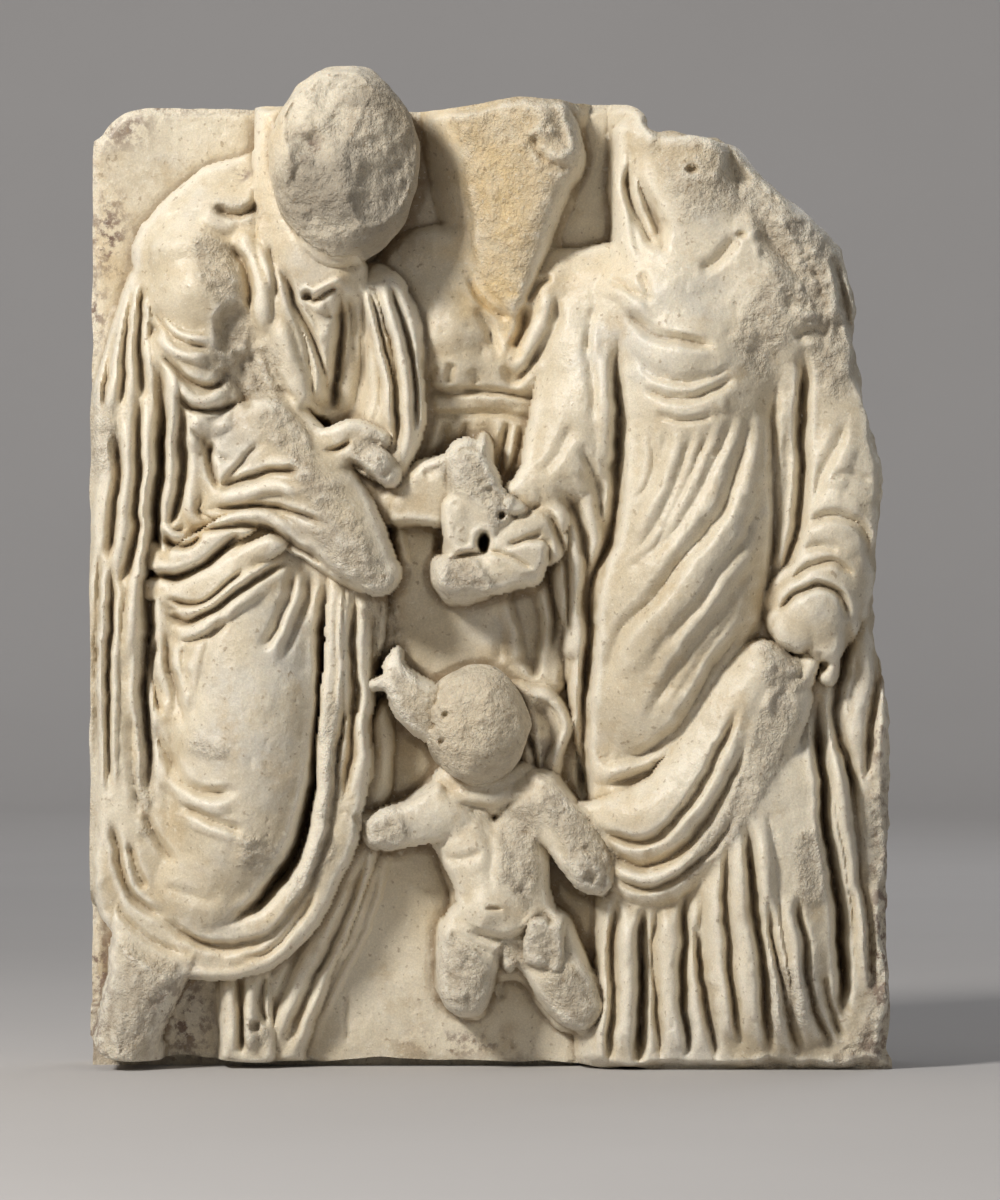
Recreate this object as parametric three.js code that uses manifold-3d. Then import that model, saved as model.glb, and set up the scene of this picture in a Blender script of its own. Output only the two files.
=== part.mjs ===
// Roman marble relief: a slab with three draped figures and a small child,
// carved from one block. Millimetres, +Z up, the carved face looks to -Y.
import * as THREE from 'three';
import { mergeVertices } from 'three/addons/utils/BufferGeometryUtils.js';
import Module from 'manifold-3d';

const wasm = await Module();
wasm.setup();

// ---- driving sizes, mm
const HALF_WIDTH = 243;      // slab, centre line to either side
const HEIGHT = 605;          // underside to the crown of the taller head
const SLAB = 52;             // thickness of the slab behind the figures
const RELIEF = 92;           // how far the figures stand out in front of it
const DEPTH = SLAB + RELIEF;
const BACK = DEPTH / 2;      // Y of the flat back
const GROUND = BACK - SLAB;  // Y of the slab's face between the figures
const MARGIN = 9;            // block worked beyond the outline before it is cut
const CELL = 2.4;            // working mesh of the face
const RISE = 0.8;            // share of the drawn height kept by folds
const CUT = 0.72;            // share of the drawn depth kept by the furrows
const FACE_TRIANGLES = 7900;

const clamp = (v, a, b) => Math.min(b, Math.max(a, v));
const ease = (t) => {
  const c = clamp(t, 0, 1);
  return c * c * (3 - 2 * c);
};

// Catmull-Rom curve through a few points; any further numbers ride along.
function curve(points, closed = false, steps = 6) {
  const n = points.length;
  const add = (a, b, k) => a.map((v, i) => v + (v - b[i]) * k);
  const at = (i) => {
    if (closed) return points[(i + n) % n];
    if (i < 0) return add(points[0], points[1], 1);
    if (i >= n) return add(points[n - 1], points[n - 2], 1);
    return points[i];
  };
  const out = [];
  for (let i = 0; i < (closed ? n : n - 1); i++) {
    const [a, b, c, d] = [at(i - 1), at(i), at(i + 1), at(i + 2)];
    for (let s = 0; s < steps; s++) {
      const t = s / steps;
      out.push(b.map((_, k) => 0.5 * (2 * b[k] + (c[k] - a[k]) * t
        + (2 * a[k] - 5 * b[k] + 4 * c[k] - d[k]) * t * t
        + (3 * b[k] - a[k] - 3 * c[k] + d[k]) * t * t * t)));
    }
  }
  if (!closed) out.push(points[n - 1]);
  return out;
}

// Smooth lattice noise, -1 to 1, the same on every run.
function lattice(i, j, k) {
  let n = Math.imul(i, 374761393) + Math.imul(j, 668265263) + Math.imul(k, 1274126177);
  n = Math.imul(n ^ (n >>> 13), 1274126177);
  return ((n ^ (n >>> 16)) & 0xffff) / 32767.5 - 1;
}

function noise(x, y, z, size) {
  const p = [x / size, y / size, z / size];
  const c = p.map(Math.floor);
  const f = p.map((v, i) => ease(v - c[i]));
  let sum = 0;
  for (let n = 0; n < 8; n++) {
    const o = [n & 1, (n >> 1) & 1, n >> 2];
    const w = o.reduce((m, v, i) => m * (v ? f[i] : 1 - f[i]), 1);
    sum += w * lattice(c[0] + o[0], c[1] + o[1], c[2] + o[2]);
  }
  return sum;
}

// ---- the worked face: how far the stone stands in front of the ground
class Face {
  constructor() {
    this.x0 = -HALF_WIDTH - MARGIN;
    this.z0 = -MARGIN;
    this.nx = Math.ceil((2 * HALF_WIDTH + 2 * MARGIN) / CELL) + 1;
    this.nz = Math.ceil((HEIGHT + 2 * MARGIN) / CELL) + 1;
    this.depth = new Float64Array(this.nx * this.nz);
  }

  // visit the points near a curve: distance, share along, side and riders
  near(points, margin, closed, visit) {
    const line = curve(points, closed);
    if (closed) line.push(line[0]);
    const xs = line.map((p) => p[0]);
    const zs = line.map((p) => p[1]);
    const i0 = clamp(Math.floor((Math.min(...xs) - margin - this.x0) / CELL), 0, this.nx - 1);
    const i1 = clamp(Math.ceil((Math.max(...xs) + margin - this.x0) / CELL), 0, this.nx - 1);
    const j0 = clamp(Math.floor((Math.min(...zs) - margin - this.z0) / CELL), 0, this.nz - 1);
    const j1 = clamp(Math.ceil((Math.max(...zs) + margin - this.z0) / CELL), 0, this.nz - 1);
    const lengths = line.slice(1).map((p, i) => Math.hypot(p[0] - line[i][0], p[1] - line[i][1]));
    const total = lengths.reduce((a, b) => a + b, 0);
    for (let j = j0; j <= j1; j++) {
      for (let i = i0; i <= i1; i++) {
        const x = this.x0 + i * CELL;
        const z = this.z0 + j * CELL;
        const hit = { x, z, dist: Infinity, along: 0, riders: [], inside: false };
        let done = 0;
        for (let k = 0; k < lengths.length; k++) {
          const [a, b] = [line[k], line[k + 1]];
          const [dx, dz] = [b[0] - a[0], b[1] - a[1]];
          const t = clamp(((x - a[0]) * dx + (z - a[1]) * dz) / (dx * dx + dz * dz + 1e-9), 0, 1);
          const d = Math.hypot(x - a[0] - t * dx, z - a[1] - t * dz);
          if (d < hit.dist) {
            hit.dist = d;
            hit.along = (done + t * lengths[k]) / total;
            hit.riders = a.slice(2).map((v, m) => v + (b[m + 2] - v) * t);
          }
          if ((a[1] > z) !== (b[1] > z) && x < dx * (z - a[1]) / dz + a[0]) hit.inside = !hit.inside;
          done += lengths[k];
        }
        const n = j * this.nx + i;
        this.depth[n] = visit(hit, this.depth[n]);
      }
    }
  }

  // a shape raised to a depth, its edge rounded over
  block(outline, depth, round, slopeX = 0, slopeZ = 0) {
    const mid = [0, 1].map((k) => outline.reduce((s, p) => s + p[k], 0) / outline.length);
    this.near(outline, 2, true, (h, d) => {
      if (!h.inside) return d;
      const e = clamp(h.dist / round, 0, 1);
      const k = Math.sqrt(1 - (1 - e) ** 2);
      return d * (1 - k) + (depth + slopeX * (h.x - mid[0]) + slopeZ * (h.z - mid[1])) * k;
    });
  }

  // a hollow with sloping sides
  sink(outline, depth, soft) {
    this.near(outline, 2, true, (h, d) => {
      const k = h.inside ? ease(h.dist / soft) : 0;
      return d * (1 - k) + Math.min(d, depth) * k;
    });
  }

  // a round form along points of [across, up, depth of its axis, radius]
  limb(points, blend) {
    this.near(points, Math.max(...points.map((p) => p[3])), false, (h, d) => {
      const [axis, radius] = h.riders;
      if (h.dist >= radius) return d;
      const top = axis + Math.sqrt(radius * radius - h.dist * h.dist);
      const k = clamp(0.5 + 0.5 * (top - d) / blend, 0, 1);
      return Math.max(d, d * (1 - k) + top * k + blend * k * (1 - k));
    });
  }

  ridge(points, width, rise) {
    this.near(points, width, false, (h, d) => {
      const k = Math.cos(clamp(h.dist / width, 0, 1) * Math.PI / 2) ** 1.5;
      return d + RISE * rise * k * ease(Math.min(h.along, 1 - h.along) / 0.25);
    });
  }

  channel(points, width, cut) {
    this.near(points, width, false, (h, d) => {
      const k = (1 - clamp(h.dist / width, 0, 1) ** 2) ** 1.2;
      return d - CUT * cut * k * ease(Math.min(h.along, 1 - h.along) / 0.2);
    });
  }

  // folds side by side, from the first line over to the last, with furrows between
  fan(first, last, count, width, rise, cut) {
    const line = (t) => first.map((p, i) => p.map((v, k) => v + (last[i][k] - v) * t));
    for (let n = 0; n < count; n++) {
      this.ridge(line(n / (count - 1)), width, rise);
      if (n < count - 1) this.channel(line((n + 0.5) / (count - 1)), width * 0.9, cut);
    }
  }

  // a broken patch: levelled towards a depth if one is given, and roughened
  fracture(outline, depth, rough, soft) {
    this.near(outline, 2, true, (h, d) => {
      const k = h.inside ? ease((h.dist + 3 * noise(h.x, 0, h.z, 14)) / soft) : 0;
      const level = depth ? d * (1 - k) + depth * k : d;
      return level + rough * k * (noise(h.x, 9, h.z, 19) + 0.5 * noise(h.x, 5, h.z, 9));
    });
  }

  drill(x, z, rx, rz, cut) {
    this.near([[x, z], [x, z + 0.1]], 2 * Math.max(rx, rz), false, (h, d) => {
      return d - cut * ease(1.4 - Math.hypot((h.x - x) / rx, (h.z - z) / rz));
    });
  }
}

// ---- the figures: outlines and strokes of [across, up], each followed by its size
function middleFigure(s) {
  s.block([[-60, 225], [-62, 330], [-60, 420], [-54, 487], [-20, 489], [8, 480], [40, 483],
    [80, 490], [86, 440], [66, 380], [46, 300], [40, 225]], 13, 10, 0, 0);
  s.limb([[-52, 478, -6, 26], [-30, 484, -4, 29], [0, 470, -2, 30], [40, 470, 0, 28],
    [76, 476, 6, 26]], 10);
  s.limb([[-46, 440, -4, 26], [0, 430, -4, 30], [40, 430, -4, 30], [60, 440, 0, 26]], 10);
  s.limb([[-26, 466, 2, 26], [-24, 445, 6, 27], [-22, 432, 6, 23]], 10);
  s.limb([[44, 468, 2, 24], [38, 445, 6, 24], [33, 428, 4, 20]], 10);
  s.limb([[8, 586, -14, 52], [8, 545, -14, 48], [7, 510, -12, 38], [11, 480, -8, 30],
    [13, 462, 0, 18]], 14);
  s.block([[-14, 600], [-16, 570], [-14, 540], [-11, 510], [-9, 490], [2, 468], [13, 455],
    [20, 464], [30, 484], [37, 501], [43, 518], [48, 531], [55, 540], [58, 552], [55, 568],
    [47, 584], [46, 600]], 41, 20, 0.3, 0.03);
  s.fracture([[-26, 600], [-22, 562], [-14, 520], [-12, 488], [2, 466], [14, 456], [24, 472],
    [36, 500], [44, 520], [56, 538], [58, 552], [52, 600]], 0, 1.3, 10);
  s.fracture([[10, 600], [20, 570], [34, 548], [44, 536], [57, 540], [60, 552], [54, 600]],
    0, 2.4, 8);
  s.sink([[26, 592], [31, 568], [40, 553], [52, 552], [50, 580], [44, 592]], 40, 12);
  s.channel([[24, 566], [30, 553], [40, 545], [50, 541]], 4, 3);
  s.channel([[-16, 482], [-8, 468], [2, 458], [13, 453]], 4, 3);
  s.channel([[20, 464], [28, 474], [38, 479]], 4, 3);
  s.channel([[-10, 462], [-2, 450], [4, 438], [8, 426]], 5, 3);
  s.channel([[20, 464], [20, 452], [16, 438], [10, 424]], 6, 8);
  s.ridge([[35, 474], [32, 456], [25, 441], [17, 428]], 6, 4);
  s.channel([[41, 466], [41, 450], [34, 438], [24, 426], [16, 414]], 5, 6);
  s.ridge([[50, 466], [50, 446], [44, 428]], 7, 3);
  s.channel([[50, 440], [46, 426], [40, 412]], 5, 3);
  s.drill(14, 420, 7, 8, 5);
  s.limb([[9, 432, 16, 9], [16, 428, 18, 8]], 4);
  s.channel([[-24, 428], [-26, 414]], 5, 3);
  s.channel([[-46, 410], [-22, 411], [0, 410], [20, 406], [50, 402]], 4, 3.5);
  s.fan([[-32, 394], [-34, 380], [-40, 362]], [[-8, 394], [-8, 380], [-12, 364]], 3, 5, 1, 2);
  s.fan([[6, 394], [4, 376], [-2, 354]], [[36, 388], [31, 372], [20, 350]], 4, 5, 1.5, 3);
  s.channel([[13, 290], [20, 270], [24, 240]], 7, 8);
}

function manBackDrapery(s) {
  s.block([[-58, 230], [-60, 180], [-66, 140], [-76, 108], [-88, 76], [-100, 44], [-112, 10],
    [-112, -8], [-170, -8], [-168, 40], [-160, 66], [-130, 80], [-100, 120], [-84, 200]],
    16, 12, 0.05, 0);
  s.ridge([[-64, 150], [-69, 122], [-79, 92], [-91, 64], [-106, 36], [-118, 6]], 9, 7);
  s.channel([[-74, 134], [-84, 102], [-95, 76], [-108, 50], [-121, 22], [-126, 4]], 6, 6);
  s.ridge([[-86, 120], [-97, 92], [-109, 66], [-122, 38], [-132, 6]], 8, 5);
  s.channel([[-112, 80], [-122, 54], [-134, 28], [-140, 6]], 5, 5);
  s.block([[-128, 76], [-134, 56], [-131, 30], [-134, 2], [-166, 2], [-164, 30], [-162, 66],
    [-146, 74]], 22, 6, 0, 0);
  s.channel([[-137, 60], [-138, 40], [-135, 24]], 4, 6);
  s.ridge([[-144, 60], [-145, 36], [-146, 6]], 5, 4);
  s.channel([[-150, 62], [-151, 40], [-152, 8]], 4, 7);
  s.ridge([[-157, 62], [-156, 34], [-157, 6]], 5, 3);
  s.fracture([[-150, 34], [-140, 34], [-136, 18], [-148, 16]], 0, 1.6, 3);
  s.channel([[-66, 128], [-73, 100], [-84, 72], [-98, 46], [-112, 20]], 4, 3);
}

function manLeg(s) {
  s.block([[-184, 74], [-192, 60], [-200, 42], [-208, 24], [-210, 4], [-236, 4], [-246, 16],
    [-244, 30], [-236, 50], [-230, 76], [-222, 92]], 26, 16, 0.1, 0.1);
  s.limb([[-200, 92, 14, 28], [-208, 60, 18, 25], [-218, 30, 22, 21], [-224, 8, 22, 20]], 8);
  s.limb([[-244, 24, 10, 16], [-226, 12, 16, 18], [-210, 10, 16, 12]], 6);
  s.fracture([[-250, 34], [-232, 60], [-222, 86], [-186, 62], [-186, 44], [-198, 26], [-202, 4],
    [-250, 4]], 0, 1.5, 10);
  s.fracture([[-250, 40], [-240, 44], [-226, 26], [-214, 18], [-206, 2], [-250, 2]], 0, 1.8, 6);
  s.sink([[-196, 12], [-194, 34], [-178, 56], [-168, 58], [-164, 30], [-166, -4], [-198, -4]],
    -4, 5);
}

function manBody(s) {
  s.block([[-134, 548], [-152, 543], [-176, 533], [-192, 521], [-206, 504], [-216, 488],
    [-223, 474], [-230, 452], [-236, 430], [-246, 405], [-252, 380], [-252, 130], [-240, 98],
    [-226, 78], [-204, 62], [-180, 54], [-150, 56], [-128, 64], [-110, 80], [-98, 98], [-88, 120],
    [-82, 152], [-76, 205], [-66, 250], [-62, 300], [-58, 350], [-44, 366], [-40, 400],
    [-41, 440], [-46, 465], [-58, 482], [-76, 490], [-100, 480], [-126, 500]], 38, 22, 0.05, 0);
  s.limb([[-138, 538, 2, 20], [-166, 522, 6, 26], [-190, 494, 8, 28]], 10);
  s.limb([[-178, 490, 22, 28], [-174, 470, 28, 31], [-170, 448, 25, 29]], 12);
  s.limb([[-180, 430, 26, 28], [-176, 400, 22, 28]], 12);
  s.limb([[-140, 500, 18, 22], [-128, 460, 24, 26], [-116, 420, 20, 24]], 12);
  s.limb([[-62, 470, 28, 13], [-56, 430, 32, 13], [-52, 390, 34, 13], [-58, 366, 36, 10]], 5);
  s.limb([[-150, 290, 16, 42], [-146, 220, 20, 46], [-152, 150, 18, 44], [-168, 110, 14, 36]], 12);
  s.limb([[-214, 400, 8, 26], [-216, 300, 6, 26], [-218, 200, 6, 26], [-216, 120, 8, 24]], 10);
  s.limb([[-84, 290, 22, 16], [-84, 240, 22, 14], [-86, 180, 24, 14]], 6);
}

function manNeck(s) {
  s.limb([[-128, 566, 4, 12], [-126, 530, 12, 15], [-120, 492, 18, 18], [-110, 470, 18, 18]], 6);
  s.ridge([[-131, 586], [-131, 560], [-134, 541]], 4, 3);
  s.ridge([[-136, 528], [-137, 505], [-132, 480], [-124, 462]], 5, 4);
  s.sink([[-112, 490], [-100, 494], [-84, 490], [-78, 484], [-86, 478], [-100, 474], [-112, 478]],
    30, 5);
  s.fracture([[-168, 526], [-150, 526], [-136, 520], [-138, 514], [-154, 512], [-170, 516]],
    0, 1.5, 3);
  s.channel([[-168, 522], [-156, 517], [-144, 520], [-136, 524]], 5, 6);
  s.ridge([[-176, 519], [-164, 511], [-152, 508]], 6, 4);
}

function manChest(s) {
  s.sink([[-112, 404], [-108, 380], [-96, 376], [-76, 386], [-68, 404], [-70, 440], [-76, 462],
    [-86, 470], [-94, 460], [-100, 430], [-104, 412]], 20, 14);
  s.ridge([[-162, 504], [-148, 498], [-140, 482], [-138, 462], [-140, 440]], 7, 6);
  s.channel([[-156, 497], [-148, 486], [-145, 470], [-147, 456]], 4, 5);
  s.channel([[-126, 484], [-120, 468], [-112, 452], [-104, 434], [-98, 412], [-96, 398]], 4, 7);
  s.ridge([[-130, 456], [-124, 436], [-117, 414], [-110, 392]], 7, 5);
  s.channel([[-138, 436], [-130, 420], [-122, 400]], 5, 3);
  s.ridge([[-106, 464], [-100, 452], [-97, 438]], 5, 4);
  s.channel([[-91, 474], [-90, 450], [-92, 425], [-95, 396]], 4, 12);
  s.ridge([[-84, 470], [-84, 440], [-86, 412], [-90, 396]], 6, 5);
  s.channel([[-78, 470], [-76, 440], [-78, 410]], 4, 4);
  s.channel([[-110, 402], [-109, 386], [-104, 372]], 6, 14);
  s.sink([[-112, 396], [-110, 380], [-102, 374], [-96, 380], [-98, 394]], 8, 4);
}

function manBundle(s) {
  s.ridge([[-78, 482], [-70, 455], [-64, 428], [-61, 405], [-64, 391], [-73, 384]], 5, 8);
  s.ridge([[-68, 482], [-59, 456], [-53, 432], [-50, 408], [-49, 386], [-52, 370], [-60, 360]],
    5, 7);
  s.ridge([[-60, 482], [-49, 462], [-44, 440], [-42, 410], [-42, 385], [-41, 366]], 4, 4);
  s.limb([[-108, 378, 40, 7], [-96, 381, 46, 8], [-82, 385, 48, 8], [-68, 380, 46, 7]], 3);
  s.limb([[-104, 368, 42, 6], [-92, 370, 48, 7], [-80, 378, 48, 6]], 3);
  s.limb([[-84, 374, 46, 9], [-70, 366, 50, 10], [-60, 360, 46, 8]], 4);
  s.channel([[-88, 366], [-78, 362], [-66, 352]], 4, 8);
  s.fracture([[-84, 382], [-62, 384], [-54, 370], [-60, 352], [-76, 352], [-84, 364]], 0, 2.2, 5);
  s.channel([[-74, 346], [-64, 330], [-54, 322]], 4, 6);
  s.ridge([[-66, 346], [-56, 326], [-52, 300]], 5, 6);
}

function manSide(s) {
  s.fan([[-206, 480], [-207, 450], [-206, 425], [-204, 405]], [[-224, 466], [-232, 440],
    [-238, 415], [-240, 390]], 4, 4.5, 4, 6);
  s.channel([[-228, 388], [-226, 362], [-228, 335], [-231, 306]], 5, 10);
  s.ridge([[-220, 402], [-219, 368], [-222, 330], [-228, 290]], 5, 6);
  s.channel([[-213, 412], [-212, 380], [-214, 325], [-224, 288]], 4, 9);
  s.ridge([[-207, 412], [-206, 360], [-211, 310], [-217, 270], [-221, 236]], 5, 8);
  s.channel([[-200, 436], [-198, 380], [-203, 325], [-207, 270], [-209, 215], [-207, 185],
    [-203, 150]], 6, 20);
  s.ridge([[-193, 432], [-192, 380], [-194, 350], [-198, 322]], 5, 8);
  s.ridge([[-180, 394], [-178, 365], [-180, 340], [-178, 326]], 5, 7);
  s.channel([[-171, 378], [-169, 356], [-176, 338]], 4, 9);
  s.ridge([[-186, 334], [-192, 326], [-184, 320]], 4, 4);
  s.fracture([[-246, 414], [-228, 410], [-224, 384], [-226, 366], [-246, 360]], 0, 2.0, 5);
  s.fracture([[-212, 260], [-204, 258], [-202, 180], [-206, 140], [-216, 160], [-216, 220]],
    0, 1.2, 4);
  s.fan([[-224, 300], [-226, 250], [-228, 205], [-228, 160]], [[-240, 330], [-242, 270],
    [-242, 215], [-240, 165]], 3, 4.5, 4, 6);
}

function manWaist(s) {
  s.limb([[-206, 312, 24, 8], [-194, 305, 34, 9], [-180, 311, 40, 10], [-162, 324, 46, 9],
    [-146, 331, 50, 7]], 3);
  s.channel([[-198, 324], [-190, 316], [-180, 318], [-172, 326]], 4, 10);
  s.channel([[-206, 300], [-192, 297], [-178, 302], [-162, 314], [-148, 326]], 4, 14);
  s.limb([[-204, 290, 26, 7], [-186, 286, 36, 8], [-166, 296, 44, 9], [-148, 308, 48, 8],
    [-128, 319, 50, 7]], 3);
  s.ridge([[-196, 280], [-182, 276], [-164, 284], [-146, 296], [-124, 310]], 4, 4);
  s.channel([[-198, 276], [-184, 271], [-168, 278], [-152, 288], [-138, 298], [-120, 308]], 4, 10);
  s.ridge([[-198, 268], [-182, 264], [-164, 272], [-148, 283], [-130, 296]], 5, 4);
  s.channel([[-186, 258], [-172, 262], [-156, 272]], 4, 3);
  s.channel([[-202, 264], [-204, 240], [-199, 212]], 4, 8);
}

function manThigh(s) {
  s.channel([[-117, 305], [-122, 284], [-130, 266], [-140, 254]], 6, 5);
  s.ridge([[-113, 304], [-118, 282], [-125, 262], [-134, 246]], 6, 3);
  s.channel([[-108, 302], [-113, 282], [-120, 262], [-126, 248]], 6, 5);
  s.channel([[-160, 282], [-170, 252], [-177, 228], [-180, 206]], 6, 3);
  s.channel([[-196, 266], [-193, 240], [-187, 218], [-182, 202]], 5, 4);
  s.ridge([[-190, 264], [-187, 240], [-182, 214]], 5, 3);
  s.channel([[-204, 262], [-202, 240], [-196, 220]], 5, 4);
  s.channel([[-206, 212], [-200, 196], [-192, 184], [-180, 172], [-162, 168], [-148, 170]], 6, 5);
  s.ridge([[-200, 190], [-188, 172], [-172, 163], [-150, 162]], 7, 3);
  s.channel([[-188, 161], [-176, 156], [-162, 150], [-146, 145]], 5, 4);
  s.channel([[-208, 158], [-202, 140], [-190, 124]], 5, 4);
  s.fracture([[-152, 142], [-136, 146], [-124, 132], [-128, 116], [-148, 118]], 0, 2.0, 8);
  s.fracture([[-180, 204], [-160, 202], [-150, 190], [-168, 184], [-186, 192]], 0, 1.0, 6);
}

function manHem(s) {
  s.channel([[-101, 300], [-101, 262], [-101, 215], [-104, 185], [-110, 158], [-117, 132],
    [-129, 112], [-145, 97], [-164, 86]], 6, 26);
  s.channel([[-104, 182], [-112, 152], [-122, 128], [-136, 108]], 7, 10);
  s.limb([[-94, 296, 40, 5], [-95, 250, 40, 6], [-97, 205, 40, 7], [-99, 165, 40, 8],
    [-105, 134, 40, 8], [-116, 110, 38, 8], [-131, 93, 36, 8], [-152, 84, 34, 8],
    [-176, 84, 30, 8], [-198, 96, 26, 7]], 4);
  s.fracture([[-102, 222], [-92, 222], [-90, 170], [-96, 132], [-112, 100], [-122, 104],
    [-106, 138], [-102, 180]], 0, 1.1, 2);
  s.channel([[-206, 104], [-196, 90], [-182, 80], [-164, 74], [-148, 75], [-132, 82], [-118, 96],
    [-106, 118], [-96, 146], [-92, 172], [-90, 205], [-86, 232]], 5, 8);
  s.limb([[-234, 150, 12, 12], [-232, 118, 14, 13], [-222, 94, 16, 13], [-206, 76, 20, 12],
    [-182, 66, 22, 12], [-154, 66, 26, 11], [-130, 76, 28, 11], [-112, 94, 30, 11],
    [-98, 120, 32, 10], [-88, 150, 34, 10], [-83, 178, 34, 9], [-81, 208, 34, 8]], 6);
  s.channel([[-228, 152], [-225, 130], [-220, 112], [-208, 98], [-194, 90]], 5, 6);
  s.channel([[-219, 138], [-214, 122], [-206, 108]], 5, 4);
  s.channel([[-228, 108], [-222, 94], [-210, 82], [-196, 74], [-180, 69]], 4, 3);
  s.channel([[-150, 66], [-132, 74], [-116, 90], [-104, 112]], 4, 3);
  s.channel([[-217, 218], [-217, 190], [-211, 150]], 6, 4);
  s.ridge([[-88, 296], [-89, 262], [-89, 235], [-90, 212]], 4, 4);
  s.channel([[-81, 292], [-83, 256], [-82, 226], [-85, 186], [-90, 158]], 4, 9);
  s.ridge([[-76, 290], [-76, 262], [-76, 232], [-76, 200], [-80, 165]], 5, 5);
  s.ridge([[-66, 288], [-65, 258], [-66, 230]], 5, 4);
  s.fracture([[-76, 296], [-56, 298], [-56, 262], [-62, 244], [-74, 250]], 0, 2.6, 5);
}

function manArm(s) {
  s.block([[-178, 346], [-174, 376], [-160, 398], [-134, 405], [-118, 397], [-105, 374],
    [-90, 350], [-76, 330], [-62, 304], [-57, 292], [-78, 288], [-100, 299], [-118, 311],
    [-140, 324], [-168, 334]], 56, 14, 0.2, 0.0);
  s.limb([[-132, 384, 28, 26], [-116, 364, 34, 27], [-98, 340, 42, 25], [-80, 316, 48, 21],
    [-68, 300, 50, 14]], 10);
  s.fracture([[-186, 500], [-172, 506], [-158, 496], [-147, 478], [-141, 450], [-138, 430],
    [-150, 426], [-162, 432], [-168, 455], [-178, 478]], 0, 1.7, 8);
  s.sink([[-168, 456], [-152, 464], [-140, 454], [-142, 434], [-158, 428], [-168, 438]], 43, 10);
  s.fracture([[-168, 440], [-146, 446], [-126, 432], [-120, 408], [-136, 398], [-158, 400],
    [-172, 414]], 0, 2.2, 10);
  s.fracture([[-150, 392], [-136, 404], [-118, 398], [-102, 372], [-84, 346], [-66, 312],
    [-54, 294], [-66, 284], [-92, 294], [-104, 316], [-112, 340], [-126, 364], [-140, 376]],
    0, 2.0, 10);
  s.channel([[-164, 424], [-152, 410], [-144, 396]], 5, 4);
  s.ridge([[-206, 468], [-202, 455], [-191, 446], [-177, 440], [-165, 439]], 4, 4);
  s.ridge([[-200, 448], [-191, 436], [-180, 430], [-168, 428]], 4, 4);
  s.channel([[-198, 434], [-187, 420], [-176, 413], [-165, 413], [-158, 422]], 4, 6);
  s.ridge([[-194, 418], [-180, 404], [-168, 404], [-158, 412]], 5, 5);
  s.ridge([[-182, 394], [-168, 386], [-154, 394]], 5, 3);
  s.channel([[-182, 388], [-166, 372], [-154, 366]], 4, 3);
  s.channel([[-170, 380], [-168, 364], [-163, 350]], 4, 8);
  s.channel([[-163, 351], [-150, 366], [-140, 380]], 4, 4);
  s.channel([[-164, 351], [-146, 357], [-128, 361], [-112, 362]], 4, 8);
  s.ridge([[-170, 344], [-150, 347], [-130, 351], [-108, 348]], 5, 5);
  s.ridge([[-184, 331], [-160, 335], [-138, 334], [-112, 322]], 5, 5);
  s.channel([[-186, 324], [-160, 328], [-136, 326], [-112, 313], [-94, 300]], 4, 9);
}

function womanBody(s) {
  s.block([[76, 572], [76, 545], [74, 520], [72, 496], [70, 478], [60, 452], [52, 420], [44, 398],
    [28, 372], [14, 350], [24, 336], [34, 310], [38, 290], [44, 262], [46, 232], [50, 206],
    [52, 196], [58, 178], [60, 158], [56, 140], [62, 112], [64, 70], [64, -8], [252, -8],
    [252, 330], [250, 366], [240, 400], [234, 440], [226, 480], [214, 505], [196, 524],
    [176, 545], [156, 566], [128, 580], [100, 582]], 34, 20, 0, 0);
  s.limb([[112, 576, -10, 40], [116, 540, 0, 44], [118, 505, 6, 44]], 14);
  s.limb([[112, 462, 10, 50], [122, 430, 12, 55], [126, 380, 10, 56], [122, 330, 14, 56],
    [112, 280, 14, 54], [104, 232, 8, 48]], 16);
  s.limb([[156, 490, 8, 50], [176, 450, 8, 50], [186, 410, 6, 40]], 16);
  s.limb([[72, 466, 4, 30], [62, 430, 12, 32], [55, 396, 18, 31], [46, 368, 22, 27]], 14);
  s.block([[8, 352], [20, 354], [36, 356], [54, 362], [70, 366], [76, 330], [70, 300], [64, 262],
    [54, 248], [44, 252], [45, 280], [42, 304], [34, 322], [24, 332], [14, 336]],
    40, 18, -0.1, 0.1);
  s.limb([[60, 398, 14, 30], [48, 374, 22, 27], [34, 356, 32, 21], [20, 347, 42, 13]], 14);
  s.limb([[196, 500, 0, 34], [208, 450, 4, 38], [212, 400, 12, 38], [212, 350, 18, 38],
    [206, 315, 24, 34], [195, 278, 32, 30]], 12);
  s.limb([[150, 190, 12, 44], [164, 120, 8, 48], [170, 50, 4, 48]], 14);
  s.limb([[188, 170, 20, 32], [190, 130, 20, 32], [184, 60, 14, 32]], 12);
  s.limb([[226, 290, 8, 20], [230, 220, 8, 20], [232, 140, 6, 18], [234, 60, 4, 16]], 8);
}

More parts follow.
